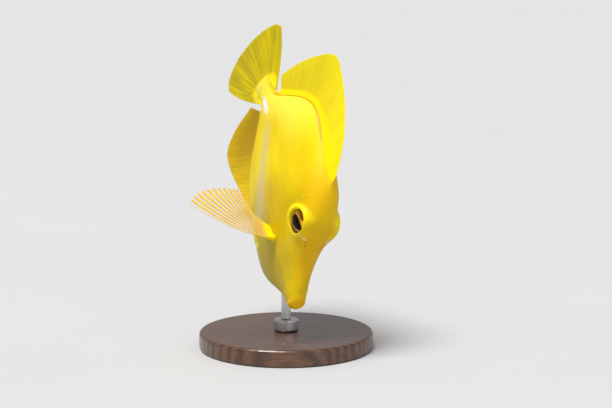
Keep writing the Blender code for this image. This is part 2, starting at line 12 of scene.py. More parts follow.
import bpy
import numpy as np
from mathutils import Euler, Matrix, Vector


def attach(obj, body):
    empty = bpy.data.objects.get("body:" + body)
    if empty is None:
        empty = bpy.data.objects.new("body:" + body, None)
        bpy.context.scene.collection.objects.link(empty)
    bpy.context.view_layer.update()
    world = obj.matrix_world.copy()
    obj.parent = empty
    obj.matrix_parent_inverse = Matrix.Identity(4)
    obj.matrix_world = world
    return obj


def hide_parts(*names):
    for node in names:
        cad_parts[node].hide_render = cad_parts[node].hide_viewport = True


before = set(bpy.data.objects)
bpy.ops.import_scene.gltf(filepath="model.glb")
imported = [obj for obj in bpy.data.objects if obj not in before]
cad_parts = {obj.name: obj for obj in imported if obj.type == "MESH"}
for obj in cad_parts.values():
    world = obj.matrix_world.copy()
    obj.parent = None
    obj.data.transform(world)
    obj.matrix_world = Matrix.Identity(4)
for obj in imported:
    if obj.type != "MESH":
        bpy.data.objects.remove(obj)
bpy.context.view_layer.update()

LENGTH = 0.125  # the standard length, from snout tip to the root of the tail fin
MIDDLE = 0.45  # the s that lies at the fish's own origin
SIDES = ((-1.0, "right"), (1.0, "left"))

# The dive and the bend of the tail
HEADING = math.radians(-74.4)
DIVE = math.radians(53.2)
ROLL = math.radians(-18.5)
FISH_PLACE = (0.003, -0.010, 0.080)
SWING = math.radians(12.9)
SWING_START = 0.72
SWING_END = 1.0

# Side view of the body: (s, height) along the back and along the belly
BACK = ((0.0, -0.080), (0.06, -0.028), (0.10, 0.001), (0.14, 0.039), (0.18, 0.098), (0.22, 0.168),
        (0.27, 0.228), (0.34, 0.276), (0.45, 0.300), (0.58, 0.313), (0.68, 0.312), (0.75, 0.288),
        (0.81, 0.238), (0.87, 0.158), (0.92, 0.082), (0.96, 0.059), (1.0, 0.060))
BELLY = ((0.0, -0.118), (0.05, -0.152), (0.10, -0.175), (0.15, -0.216), (0.20, -0.258),
         (0.26, -0.293), (0.34, -0.308), (0.44, -0.306), (0.56, -0.296), (0.68, -0.270),
         (0.77, -0.224), (0.85, -0.148), (0.91, -0.082), (0.96, -0.057), (1.0, -0.060))
# Half the width, the height at which it is widest, and how full the section is above and below
HALF_WIDTH = ((0.0, 0.030), (0.05, 0.037), (0.10, 0.042), (0.16, 0.054), (0.22, 0.073),
              (0.30, 0.087), (0.40, 0.101), (0.52, 0.095), (0.66, 0.076), (0.80, 0.051),
              (0.90, 0.034), (1.0, 0.021))
WIDEST = ((0.0, -0.098), (0.08, -0.062), (0.16, 0.000), (0.24, 0.075), (0.32, 0.090),
          (0.45, 0.050), (0.65, 0.015), (1.0, 0.0))
FULL_UPPER = ((0.0, 2.0), (0.15, 2.1), (0.27, 2.35), (0.40, 2.1), (0.60, 1.85), (1.0, 1.9))
FULL_LOWER = ((0.0, 2.0), (0.08, 1.65), (0.20, 1.62), (0.42, 1.52), (0.60, 1.65), (1.0, 1.9))
SNOUT_ROUND = 0.024
LIP_SWELL = 0.07
LIP_GROOVE = 0.018

# The skin's grid: rings over the rounded snout tip, the head, the trunk and the flesh on the tail fin
TIP_RINGS = 18
HEAD_RINGS = 230
TRUNK_RINGS = 200
TAIL_FLESH_RINGS = 24
HEAD_END = 0.38
TAIL_FLESH = 0.036  # how far the flesh runs on over the root of the tail fin
AROUND = 360
MAP_EDGE = 0.02  # how much of a surface map a closed end takes

# The mouth
MOUTH_HEIGHT = -0.101
MOUTH_FALL = 0.10  # of its line towards the corner, per unit of s
MOUTH_CORNER = 0.040
MOUTH_DEPTH = 0.0008
MOUTH_HALF_GAP = 0.0022
LIP_HEIGHT = 0.0100  # of each lip's crest from the mouth line
LIP_SPREAD = 0.0065
LIP_RELIEF = 0.00009
LIP_FOLD_HEIGHT = 0.0215
LIP_FOLD_SPREAD = 0.0028
LIP_FOLD_DEPTH = 0.00007

# Rear edge of the head, from the nape down the gill cover to the throat
HEAD_EDGE = ((0.358, 0.350), (0.355, 0.250), (0.350, 0.170), (0.340, 0.095), (0.308, 0.020),
             (0.281, -0.035), (0.262, -0.068), (0.238, -0.081), (0.205, -0.085), (0.155, -0.091),
             (0.105, -0.107), (0.070, -0.128), (0.054, -0.160), (0.050, -0.350))
GILL_SPAN = (0.30, 0.55, 0.78, 0.90)  # where down that edge the cover rises, stands out and fades
GILL_RISE = 0.00038
GILL_REACH = 0.0090
GILL_SLIT = 0.00055
SLIT_PLACE = -0.00030  # of the slit's bottom, behind the edge
SLIT_SPREAD = 0.00032
CHEST_DROP = 0.00040
CHEST_REACH = 0.0080
CHEEK_LINE = 0.0052  # how far a shallow groove runs in front of the edge
CHEEK_LINE_SPREAD = 0.0008
CHEEK_LINE_DEPTH = 0.00012

# The eyes
EYE_PLACE = (0.271, 0.130)
EYE_DEPTH = 0.0072
EYE_RADII = (0.0076, 0.0050, 0.0074)
EYE_TURN = math.radians(4.0)
EYE_LIFT = math.radians(4.0)
MOUND_RADIUS = 0.0064
MOUND_FALL = 0.0032  # how slowly the mound round the eye falls away
MOUND_LEVEL = 0.0102
RIM_RADIUS = 0.0069
RIM_SPREAD = 0.0009
RIM_RISE = 0.0009
EYE_OPENING = 0.0060
BROW_TURN = math.radians(25.0)  # of the rim's lowest part, below the way to the snout
EYE_RINGS = 109
EYE_COLUMNS = 144
EYE_SLIM = 0.32  # how much narrower the hidden part of the ball is
EYE_BACK = 1.5  # the angle from its front, in radians, behind which no pupil is marked
PUPIL = (0.0050, 0.0025)  # half its length and half its width
PUPIL_SHIFT = (0.0008, 0.0005)  # of its middle from the eye's, ahead and up
PUPIL_TILT = math.radians(9.0)  # its front end towards the back of the fish
PUPIL_POINT = 0.16  # how much narrower its front end is
IRIS_DEPTH = 0.00016
LENS_RISE = 0.00010
GOLD_PLACE = (0.0043, 0.0002)  # of the bright part of the iris, ahead and up
GOLD_SPREAD = 0.0017
FOLD_STEP = 0.0017  # between the folds of skin behind the eye
FOLD_PLACE = (0.352, 0.205)
FOLD_RADII = (0.0052, 0.0048)
FOLD_RELIEF = 0.00007

NOSTRILS = ((0.194, 0.0455, 0.105), (0.184, 0.0385, 0.092))  # s, side and height
NOSTRIL_RADIUS = 0.0005
NOSTRIL_DEPTH = 0.0006
NOSTRIL_RIM = 0.00012
CHEEK_GROOVE = ((0.224, 0.0816, 0.131), (0.199, 0.049, 0.111))  # from the eye to the nostrils
CHEEK_GROOVE_SPREAD = 0.00050
CHEEK_GROOVE_DEPTH = 0.00022

# Forms and tints of the skin
SPREAD_SHOULDER = (0.0052, 0.0025)  # radii of the flesh at the root of the spread pectoral fin
FOLDED_SHOULDER = (0.0044, 0.0017)
SHOULDER_RISE = 0.00125
LINE_SPREAD = 0.00035  # of the lateral line
LINE_DEPTH = 0.00005
CREASE_DEPTH = 0.00028  # along the roots of the dorsal and the anal fin
MUSCLE_STEP = 0.030
MUSCLE_LEAN = 0.75
MUSCLE_BEND = 0.16  # how far the bend of the muscles lies below the lateral line
MUSCLE_RELIEF = 0.000015
SHEATH_DEPTH = 0.00055  # round the tail spine
SHEATH_RIM = 0.00018
CREST_PLACE = 0.372  # in front of the dorsal fin
CREST_LENGTH = 0.028
CREST_SPREAD = 0.0016
CREST_RISE = 0.0012
VENT_PLACE = (0.487, -0.307)
VENT_RADII = (0.0011, 0.0009)
VENT_DEPTH = 0.0005
NAPE_TINT = (0.365, 0.235)
NAPE_TINT_RADII = (0.0090, 0.0060)

PECTORAL_PLACE = (0.312, -0.067)
PECTORAL_ROOT = 0.0076
PELVIC_PLACE = (0.345, 0.372)

LATERAL_LINE = ((0.345, 0.190), (0.42, 0.222), (0.52, 0.240), (0.64, 0.236), (0.74, 0.205),
                (0.82, 0.145), (0.88, 0.078), (0.94, 0.028), (1.0, 0.004))

PALE_BAND = ((0.34, -0.200), (0.50, -0.115), (0.60, -0.070), (0.69, -0.035), (0.80, -0.010), (0.90, 0.0))

SPINE_PLACE = 0.909
SPINE_LENGTH = 0.0068
SPINE_HEIGHT = 0.0026
SPINE_THICKNESS = 0.0018
SPINE_TURN = math.radians(3.0)
SPINE_KEEL = 0.0002
SPINE_ROWS = 40
SPINE_COLUMNS = 28

# Fins: (place along the base 0 to 1, s, height) of each outer edge
SINK = 0.0010  # how deep a fin's root lies under the skin
DORSAL_BASE = (0.362, 0.918)
DORSAL_EDGE = ((0.0, 0.384, 0.326), (0.15, 0.475, 0.402), (0.35, 0.612, 0.466), (0.55, 0.750, 0.497),
               (0.70, 0.846, 0.494), (0.80, 0.906, 0.402), (0.90, 0.955, 0.268), (1.0, 0.982, 0.132))
ANAL_BASE = (0.500, 0.920)
ANAL_EDGE = ((0.0, 0.530, -0.332), (0.2, 0.632, -0.356), (0.4, 0.735, -0.392), (0.6, 0.838, -0.413),
             (0.75, 0.912, -0.390), (0.88, 0.958, -0.286), (1.0, 0.983, -0.133))
TAIL_EDGE = ((0.0, 1.152, 0.252), (0.12, 1.180, 0.216), (0.3, 1.204, 0.110), (0.5, 1.210, 0.0),
             (0.7, 1.204, -0.110), (0.88, 1.172, -0.216), (1.0, 1.138, -0.250))
TAIL_ROOT = 0.0605
TAIL_ROOT_START = 0.950
TAIL_WRAP = 0.10
MEDIAN_BOW = 0.10
MEDIAN_LEAN = 1.2  # over 1, a ray leans back more towards its tip
MEDIAN_SWAY = 0.006
TAIL_BOW = 0.16
TAIL_SWAY = -0.012
SPREAD_ROOT = (0.93, -0.37)  # the way of a pectoral fin's root in the side view
SPREAD_FAN = (math.radians(16.8), math.radians(23.0), math.radians(15.6))
SPREAD_CUP = 0.020
SPREAD_BOW = 0.027
FOLDED_ROOT = (0.6, -0.8)
FOLDED_FAN = (math.radians(12.0), math.radians(-46.0))
PECTORAL_LENGTHS = ((0.0, 0.4094), (0.25, 0.3834), (0.5, 0.3234), (0.75, 0.2584), (1.0, 0.2114))
FOLDED_LENGTHS = ((0.0, 0.290), (0.2, 0.300), (0.6, 0.240), (1.0, 0.120))
PELVIC_TURN = (math.radians(150.0), math.radians(161.0))
PELVIC_FAN = math.radians(8.0)
PELVIC_LENGTHS = ((0.0, 0.185), (0.3, 0.175), (1.0, 0.080))

# Each fin: its rays and how many of them are spines, the steps from ray to ray and from root to edge,
# the thickness of a ray, of the web and of the root, how far out the root's flesh runs, the spread of
# a ray and the notches behind soft rays and spines as shares, how much fuller it is at the nape, and
# the seed of its uneven edge
Fin = namedtuple("Fin", "rays spines per_ray rows ray web root flesh spread soft_notch spine_notch nape"
                        " seed")
DORSAL = Fin(29, 5, 14, 78, 0.00052, 0.00042, 0.0024, 0.0046, 0.26, 0.008, 0.04, 0.9, 11)
ANAL = Fin(23, 3, 14, 64, 0.00054, 0.00042, 0.0024, 0.0044, 0.26, 0.008, 0.03, 0.0, 12)
TAIL = Fin(16, 0, 18, 80, 0.00070, 0.00038, 0.0030, 0.0090, 0.24, 0.010, 0.0, 0.0, 13)
PECTORAL_SPREAD = Fin(13, 1, 16, 90, 0.0009, 0.00022, 0.0032, 0.0150, 0.20, 0.006, 0.0, 0.0, 14)
PECTORAL_FOLDED = Fin(13, 1, 16, 90, 0.0008, 0.00022, 0.0018, 0.0110, 0.26, 0.020, 0.0, 0.0, 15)
PELVIC = Fin(6, 1, 12, 48, 0.0005, 0.00035, 0.0008, 0.0040, 0.22, 0.02, 0.0, 0.0, 16)

# The camera and the lights
CAMERA_TILT = math.radians(8.1)
CAMERA_REACH = (-0.0075, 0.74555, 0.0021)  # from the camera to the fish: right, ahead and up
FOCAL_LENGTH = 85.0
FLOOR_SIZE = 800.0
KEY_SUN = ((-0.28, -0.34, 1.0), 3.0, math.radians(22.0), (1.0, 0.98, 0.95))  # way, strength, width, tint
FILL_SUN = ((0.8, -1.0, 0.5), 0.35, math.radians(60.0), (0.98, 0.98, 1.0))
SKY = {"Color": (0.95, 0.96, 1.0, 1.0), "Strength": 0.42}


def curve(points, at):
    """A smooth line through (place, value) points, read at an array of places."""
    places, values = np.array(points, dtype=float).T
    before, after = np.r_[0, 0:len(places) - 1], np.r_[1:len(places), -1]
    slopes = (values[after] - values[before]) / (places[after] - places[before])
    at = np.clip(at, places[0], places[-1])
    i = np.clip(np.searchsorted(places, at) - 1, 0, len(places) - 2)
    span = places[i + 1] - places[i]
    t = (at - places[i]) / span
    return (values[i] * (1 + 2 * t) * (1 - t) ** 2 + values[i + 1] * t * t * (3 - 2 * t)
            + slopes[i] * span * t * (1 - t) ** 2 - slopes[i + 1] * span * t * t * (1 - t))


def edge_curve(points, at):
    """The s and height of a fin's outer edge at places along its base."""
    return [curve([(p[0], p[i]) for p in points], at) for i in (1, 2)]


def smooth(value, low, high):
    """0 below low, 1 above high, and a smooth rise between them."""
    t = np.clip((value - low) / (high - low), 0.0, 1.0)
    return t * t * (3.0 - 2.0 * t)


def fade(value, low, high):
    """1 below low, 0 above high, and a smooth fall between them."""
    return 1.0 - smooth(value, low, high)


def window(value, rise, top, fall, end):
    """0 up to rise, 1 from top to fall, and 0 again from end."""
    return smooth(value, rise, top) * fade(value, fall, end)


def bump_at(value, middle, spread):
    """1 at a middle, falling away evenly on both sides."""
    return np.exp(-((value - middle) / spread) ** 2)


def spots(s, side, height):
    """Points of the straight fish, in metres, from fractions of the standard length."""
    parts = np.broadcast_arrays(MIDDLE - s, side, height)
    return np.stack(parts, axis=-1) * LENGTH


def bent(points):
    """Carry points of the straight fish along with the swing of its tail."""
    along = (MIDDLE - SWING_START) * LENGTH - points[..., 0]
    reach = (SWING_END - SWING_START) * LENGTH
    bend = SWING / reach
    angle = bend * np.clip(along, 0.0, reach)
    beyond = np.maximum(along - reach, 0.0)
    back = SWING_START * LENGTH + np.sin(angle) / bend + beyond * np.cos(angle)
    back += points[..., 1] * np.sin(angle)
    right = (1.0 - np.cos(angle)) / bend + beyond * np.sin(angle) - points[..., 1] * np.cos(angle)
    moved = np.stack([MIDDLE * LENGTH - back, -right, points[..., 2]], axis=-1)
    return np.where((along > 0.0)[..., None], moved, points)


def section(s):
    """Half width, widest height, rise above it, drop below it and both fullnesses at s."""
    size = np.sqrt(np.clip(1.0 - (1.0 - np.minimum(s / SNOUT_ROUND, 1.0)) ** 2, 0.0, 1.0))
    size = size * (1.0 + LIP_SWELL * bump_at(s, 0.020, 0.010))
    size = size * (1.0 - LIP_GROOVE * bump_at(s, 0.044, 0.008))
    middle = curve(WIDEST, s)
    flesh_end = np.sqrt(np.clip(1.0 - (np.maximum(s - 1.0, 0.0) / (TAIL_FLESH * 1.03)) ** 2, 0.0, 1.0))
    return (curve(HALF_WIDTH, s) * size * flesh_end, middle, (curve(BACK, s) - middle) * size,
            (middle - curve(BELLY, s)) * size, curve(FULL_UPPER, s), curve(FULL_LOWER, s))


def flank(s, height):
    """Half the body's width at a height, as a fraction of the standard length."""
    width, middle, rise, drop, upper, lower = section(s)
    share = np.where(height > middle, (height - middle) / rise, (middle - height) / drop)
    full = np.where(height > middle, upper, lower)
    return width * np.maximum(1.0 - np.clip(share, 0.0, 1.0) ** full, 0.0) ** (1.0 / full)


def eye_distance(s, height):
    """Distance in the side view from the middle of the eye, in metres."""
    return np.hypot(s - EYE_PLACE[0], height - EYE_PLACE[1]) * LENGTH


def bare_skin(s, turn):
    """Points of the skin without relief, turned round from the back by the left flank."""
    width, middle, rise, drop, upper, lower = section(s)
    up, side = np.cos(turn), np.sin(turn)
    full = np.where(up > 0.0, upper, lower)
    reach = np.where(up > 0.0, rise, drop)
    across = np.abs(side) ** (2.0 / full) * width
    height = middle + np.sign(up) * np.abs(up) ** (2.0 / full) * reach
    away = eye_distance(s, height)
    share = np.exp(-(np.maximum(away - MOUND_RADIUS, 0.0) / MOUND_FALL) ** 2)
    share = share * (1.0 - 0.8 * smooth((height - middle) / rise, 0.45, 0.95)
                     * smooth(away, MOUND_RADIUS, MOUND_RADIUS + 0.0030))
    low = across * LENGTH
    low = low + np.maximum(MOUND_LEVEL - low, 0.0) * share * smooth(low, 0.0008, 0.0060)
    return spots(s, np.sign(side) * low / LENGTH, height)


def even_turns(s):
    """For each ring, turns that lie at even steps along the skin, down one flank and up the other."""
    fine = np.linspace(0.0, math.pi, 1441)[None, :]
    points = bare_skin(s[:, None], fine)
    steps = np.linalg.norm(np.diff(points, axis=1), axis=-1)
    travelled = np.concatenate([np.zeros((len(s), 1)), np.cumsum(steps, axis=1)], axis=1)
    wanted = np.linspace(0.0, 1.0, AROUND // 2 + 1)
    left = np.stack([np.interp(wanted * row[-1], row, fine[0]) for row in travelled])
    return np.concatenate([left, -left[:, -2:0:-1]], axis=1)


def edge_distance(s, height):
    """Distance in metres in front of the head's rear edge, and how far down it the nearest point is."""
    nearest = np.full(s.shape, 1e9)
    signed = np.zeros(s.shape)
    share = np.zeros(s.shape)
    for i, (start, end) in enumerate(zip(HEAD_LINE, HEAD_LINE[1:])):
        run, fall = end[0] - start[0], end[1] - start[1]
        away_s, away_height = s - start[0], height - start[1]
        t = np.clip((away_s * run + away_height * fall) / (run ** 2 + fall ** 2), 0.0, 1.0)
        apart = np.hypot(away_s - t * run, away_height - t * fall)
        side = np.sign(fall * away_s - run * away_height)
        closer = apart < nearest
        nearest = np.where(closer, apart, nearest)
        signed = np.where(closer, side * apart, signed)
        share = np.where(closer, (i + t) / (len(HEAD_LINE) - 1), share)
    return signed * LENGTH, share


def smooth_line(points, steps=6):
    """A smooth side-view line through its corner points."""
    places = np.arange((len(points) - 1) * steps + 1) / steps
    return list(zip(*edge_curve([(i, *p) for i, p in enumerate(points)], places)))


def leaning(along, up, lean):
    """Distances along and across a way that leans up by an angle."""
    return along * math.cos(lean) + up * math.sin(lean), up * math.cos(lean) - along * math.sin(lean)


def mound(s, height, place, radii, lean=0.0):
    """1 at a place in the side view, falling to 0 beyond its radii in metres."""
    along, across = leaning((s - place[0]) * LENGTH, (height - place[1]) * LENGTH, lean)
    return np.exp(-(along / radii[0]) ** 2 - (across / radii[1]) ** 2)


def line_distance(points, start, end):
    """Distance in metres from a straight piece of line between two (s, side, height) places on a flank."""
    first, last = spots(*start), spots(*end)
    way = last - first
    away = np.stack([points[..., 0], np.abs(points[..., 1]), points[..., 2]], axis=-1) - first
    t = np.clip(np.sum(away * way, axis=-1) / max(np.dot(way, way), 1e-12), 0.0, 1.0)
    return np.linalg.norm(away - t[..., None] * way, axis=-1)


def unit(vectors):
    """Vectors brought to length 1."""
    return vectors / np.maximum(np.linalg.norm(vectors, axis=-1, keepdims=True), 1e-12)


def grid_normals(points, outward):
    """Unit normals of a grid of points that is closed along its second axis."""
    down = np.gradient(points, axis=0)
    across = np.roll(points, -1, axis=1) - np.roll(points, 1, axis=1)
    normals = unit(np.cross(across, down))
    return normals * np.sign(np.sum(normals[..., 1] * np.sign(outward)))


def skin_relief(points, s, height, side):
    """How far the skin stands off its plain form, in metres, and how much of each tint it has, painted
    highlight and shade among them.
    """
    # The mouth and the lips
    off_mouth = height - (MOUTH_HEIGHT - MOUTH_FALL * s)
    at_mouth = fade(s, MOUTH_CORNER - 0.010, MOUTH_CORNER + 0.004)
    slit = bump_at(off_mouth, 0.0, MOUTH_HALF_GAP) * at_mouth
    lips = bump_at(np.abs(off_mouth), LIP_HEIGHT, LIP_SPREAD) * at_mouth
    lip_folds = bump_at(np.abs(off_mouth), LIP_FOLD_HEIGHT, LIP_FOLD_SPREAD) * at_mouth
    relief = LIP_RELIEF * lips - MOUTH_DEPTH * slit - LIP_FOLD_DEPTH * lip_folds

    # The gill cover with its slit, the chest behind it and the cheek in front
    ahead, share = edge_distance(s, height)
    strong = window(share, *GILL_SPAN)
    cover = smooth(ahead, 0.0, 0.0010) * np.exp(-np.maximum(ahead, 0.0) / GILL_REACH)
    opening = bump_at(ahead, SLIT_PLACE, SLIT_SPREAD)
    behind = np.exp(-np.maximum(-ahead, 0.0) / CHEST_REACH) * fade(ahead, -0.0002, 0.0003)
    behind = behind * smooth(share, 0.40, 0.55)
    relief += strong * (GILL_RISE * cover - GILL_SLIT * opening - CHEST_DROP * behind)
    cheek = bump_at(ahead, CHEEK_LINE, CHEEK_LINE_SPREAD) * window(share, 0.20, 0.36, 0.66, 0.80)
    relief -= CHEEK_LINE_DEPTH * cheek

    # The rim of the eye, with the brow over it and the folds of skin behind it
    away = eye_distance(s, height)
    on_flank = smooth(flank(s, height) * LENGTH, 0.0030, 0.0058)
    around = np.arctan2(height - EYE_PLACE[1], EYE_PLACE[0] - s)  # 0 to the snout, 90 degrees up
    brow = 0.5 - 0.5 * np.cos(around + BROW_TURN)
    rim = bump_at(away, RIM_RADIUS + 0.0004 * brow, RIM_SPREAD + 0.0005 * brow) * on_flank
    folds = np.cos((away - RIM_RADIUS) / FOLD_STEP * 2.0 * math.pi) * smooth(away, 0.0082, 0.0096)
    folds = folds + np.cos((away - 0.6 * height * LENGTH) / FOLD_STEP * 4.4)
    relief += FOLD_RELIEF * folds * mound(s, height, FOLD_PLACE, FOLD_RADII) * on_flank

    # The nostrils and the groove that runs to them
    groove = bump_at(line_distance(points, *CHEEK_GROOVE), 0.0, CHEEK_GROOVE_SPREAD)
    relief -= CHEEK_GROOVE_DEPTH * groove
    pits = 0.0
    for place in NOSTRILS:
        apart = line_distance(points, place, place)
        pits = pits + bump_at(apart, 0.0, NOSTRIL_RADIUS)
        relief += NOSTRIL_RIM * bump_at(apart, NOSTRIL_RADIUS * 2.0, NOSTRIL_RADIUS * 0.7)
    relief -= NOSTRIL_DEPTH * pits

    # The flesh at the roots of the pectoral fins
    spread_root = mound(s, height, PECTORAL_PLACE, SPREAD_SHOULDER, math.atan2(*SPREAD_ROOT[::-1]))
    folded_root = mound(s, height, PECTORAL_PLACE, FOLDED_SHOULDER, math.atan2(*FOLDED_ROOT[::-1]))
    relief += SHOULDER_RISE * np.where(side < 0.0, spread_root, folded_root)

    # The lateral line, the creases along the fins on back and belly, and the muscles
    off_line = height - curve(LATERAL_LINE, s)
    pored = bump_at(off_line * LENGTH, 0.0, LINE_SPREAD) * window(s, 0.345, 0.37, 0.97, 1.0)
    relief -= LINE_DEPTH * pored
    back_gap = (curve(BACK, s) - height) * LENGTH
    belly_gap = (height - curve(BELLY, s)) * LENGTH
    # Along the roots of the dorsal and the anal fin: a shallow crease, and painted shade that darkens the
    # skin's colour there
    crease_and_shade = bump_at(back_gap, 0.0009, 0.0008) * window(s, 0.48, 0.62, 0.93, 0.95)
    crease_and_shade += bump_at(belly_gap, 0.0007, 0.0007) * window(s, 0.49, 0.52, 0.93, 0.95)
    relief -= CREASE_DEPTH * crease_and_shade
    muscle = np.sin((s - np.abs(off_line + MUSCLE_BEND) * MUSCLE_LEAN) / MUSCLE_STEP * 2.0 * math.pi)
    trunk = window(s, 0.40, 0.50, 0.90, 0.98)
    trunk *= smooth(back_gap, 0.002, 0.010) * smooth(belly_gap, 0.002, 0.010)
    relief += MUSCLE_RELIEF * muscle * trunk

    # The sheath of the tail spine, the crest in front of the dorsal fin, and the vent
    sheath = np.hypot((s - SPINE_PLACE) / SPINE_LENGTH, height / SPINE_HEIGHT) * 2.0 * LENGTH
    relief += SHEATH_RIM * bump_at(sheath, 1.38, 0.22) - SHEATH_DEPTH * fade(sheath, 0.85, 1.20)
    crest = bump_at(points[..., 1], 0.0, CREST_SPREAD) * bump_at(s, CREST_PLACE, CREST_LENGTH)
    vent = mound(s, height, VENT_PLACE, VENT_RADII)
    relief += CREST_RISE * crest * (height > 0.0) - VENT_DEPTH * vent

    # Painted shade in the gill slit, and in a spot just in front of its edge
    slit_shade = strong * bump_at(ahead, -0.00025, 0.00030)
    slit_shade = slit_shade + 0.8 * bump_at(ahead, 0.0002, 0.0004) * bump_at(share, 0.62, 0.05)
    bridge = window(s, 0.05, 0.12, 0.20, 0.27) * fade(back_gap, 0.001, 0.006)
    nape = mound(s, height, NAPE_TINT, NAPE_TINT_RADII)
    iris_edge = bump_at(away, EYE_OPENING + 0.0002, 0.0005) * (1.0 - 0.6 * brow)
    off_band = (height - curve(PALE_BAND, s)) / (0.060 - 0.030 * smooth(s, 0.45, 0.75))
    keel = bump_at(off_band, 0.0, 1.0) * window(s, 0.34, 0.48, 0.74, 0.88)
    throat = bump_at(belly_gap, 0.0040, 0.0022) * window(s, 0.16, 0.24, 0.30, 0.40)
    tints = {
        # painted highlight: brighter yellow on the rim round the eye, most of it on its upper, rear side
        "brow": bump_at(away, RIM_RADIUS + 0.0006, 0.0015) * (0.20 + 0.80 * brow) * on_flank,
        # painted shade: near black in the mouth slit, the gill slit, the nostrils and the vent
        "recess_shade": slit + slit_shade + 0.5 * pits + 0.5 * vent,
        # painted shade: darker brown along the creases at the roots of the dorsal and the anal fin
        "crease_and_shade": crease_and_shade,
        "warm": fade(s, 0.018, 0.055) + 0.75 * bridge + 0.55 * nape + 0.4 * iris_edge,
        # the chest's own duller olive tone, together with painted shade below and behind the gill cover
        "chest": fade(ahead, -0.0016, 0.0) * fade(s, 0.36, 0.50) * fade(height, -0.10, -0.02),
        # painted shade: darker over the head, and further back along the lower body
        "front": fade(s - 0.9 * np.clip(0.2 - height, 0.0, 0.2), 0.26, 0.48),
        # painted highlight: lighter, paler yellow along the upper rear of the back
        "painted_sheen": smooth(s, 0.55, 0.80) * window(back_gap, 0.0005, 0.003, 0.012, 0.030),
        "golden": window(s, 0.20, 0.27, 0.36, 0.52) * fade(back_gap, 0.004, 0.012),
        "pale": keel + 0.45 * throat,
        "light": 0.7 * groove + 1.1 * bump_at(sheath, 1.15, 0.42),
    }
    tints = {title: np.clip(amount, 0.0, 1.0) for title, amount in tints.items()}
    return relief, rim * RIM_RISE * (0.45 + 0.75 * brow), tints


def dip_under_eye(points, away, side):
    """The skin dips under the eyeball inside the eye's opening."""
    share = np.clip(1.0 - (away / EYE_RADII[0]) ** 2, 0.0, 1.0)
    under = EYE_DEPTH + EYE_RADII[1] * np.sqrt(share) - 0.00045
    inside = fade(away, EYE_OPENING - 0.00035, EYE_OPENING + 0.00035)
    width = np.abs(points[..., 1])
    points[..., 1] = np.where(side < 0, -1.0, 1.0) * (width * (1.0 - inside) + under * inside)


def shell(rows, columns):
    """Quads of a grid of points, row by row and closed round its columns, and their map corners."""
    i, j = np.mgrid[0:rows - 1, 0:columns]
    k = (j + 1) % columns
    faces = [i * columns + j, i * columns + k, (i + 1) * columns + k, (i + 1) * columns + j]
    across = np.stack([j, j + 1, j + 1, j], axis=-1) / columns
    down = MAP_EDGE + (1.0 - 2.0 * MAP_EDGE) * np.stack([i, i, i + 1, i + 1], axis=-1) / (rows - 1)
    corners = np.stack([across, down], axis=-1)
    return np.stack(faces, axis=-1).reshape(-1, 4).tolist(), corners.reshape(-1, 2).tolist()


def close_end(faces, corners, tip, ring, columns, end):
    """Close a shell at its first (0) or last (1) row with triangles from that row's ring to a tip."""
    rim = MAP_EDGE + (1.0 - 2.0 * MAP_EDGE) * end
    way = -1 if end else 1
    for j in range(columns):
        places = [[(j + 0.5) / columns, end], [(j + 1) / columns, rim], [j / columns, rim]]
        faces.append([tip, ring + (j + 1) % columns, ring + j][::way])
        corners.extend(places[::way])


def turned_over(faces, corners):
    """The same faces with their order turned round, and their map corners with them."""
    turned = []
    at = 0
    for face in faces:
        turned += corners[at:at + len(face)][::-1]
        at += len(face)
    return [face[::-1] for face in faces], turned


def placed(name, data):
    """A new object in the scene."""
    made = bpy.data.objects.new(name, data)
    bpy.context.scene.collection.objects.link(made)
    return made


def make_piece(name, points, faces, corners, values, material, nodes):
    """A smooth mesh in the turned fish that stands for CAD nodes and rides on the one body."""
    posed = points.reshape(-1, 3) @ FISH_TURN.T + FISH_PLACE
    mesh = bpy.data.meshes.new(name)
    mesh.from_pydata(posed.tolist(), [], faces)
    for title, numbers in values.items():
        kind, key = ('FLOAT_VECTOR', "vector") if numbers.shape[-1] == 3 else ('FLOAT', "value")
        held = mesh.attributes.new(title, kind, 'POINT')
        held.data.foreach_set(key, np.asarray(numbers, dtype=np.float32).reshape(-1))
    layer = mesh.uv_layers.new(name="OFBake")
    layer.data.foreach_set("uv", np.array(corners, dtype=np.float32).reshape(-1))
    mesh.shade_smooth()
    mesh.materials.append(material)
    piece = placed(name, mesh)
    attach(piece, "root")
    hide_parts(*nodes)
    return piece


def feed(tree, node, inputs):
    """Set or link the inputs of a shader node, by name or number."""
    for key, value in inputs.items():
        if isinstance(value, bpy.types.NodeSocket):
            tree.links.new(value, node.inputs[key])
        else:
            node.inputs[key].default_value = value


def add(tree, kind, inputs=None, **settings):
    """One shader node, with its settings and its inputs."""
    made = tree.nodes.new('ShaderNode' + kind)
    for key, value in settings.items():
        setattr(made, key, value)
    feed(tree, made, inputs or {})
    return made


def mixed(tree, share, first, second):
    """Two colours, each in three parts or from a socket, mixed by a share."""
    colours = [(*side, 1.0) if isinstance(side, tuple) else side for side in (first, second)]
    return add(tree, 'Mix', {0: share, 6: colours[0], 7: colours[1]}, data_type='RGBA').outputs[2]


def figured(tree, operation, *values, clamp=False):
    """What an operation makes of numbers or sockets."""
    return add(tree, 'Math', dict(enumerate(values)), operation=operation, use_clamp=clamp).outputs[0]


def scaled(tree, value, factor, start):
    """A value times a factor, added to a start."""
    return figured(tree, 'MULTIPLY_ADD', value, factor, start)


def stepped(tree, value, low, high):
    """0 below low and 1 above high, smooth between."""
    return add(tree, 'MapRange', {0: value, 1: low, 2: high},
               interpolation_type='SMOOTHSTEP').outputs[0]


def tinted(tree, colour, amount, share, tint):
    """A colour with up to a share of a tint over it."""
    return mixed(tree, figured(tree, 'MULTIPLY', amount, share, clamp=True), colour, tint)


def held_value(tree, title, vector=False):
    """What a mesh holds under a title."""
    node = add(tree, 'Attribute', attribute_name=title)
    return node.outputs["Vector"] if vector else node.outputs["Fac"]


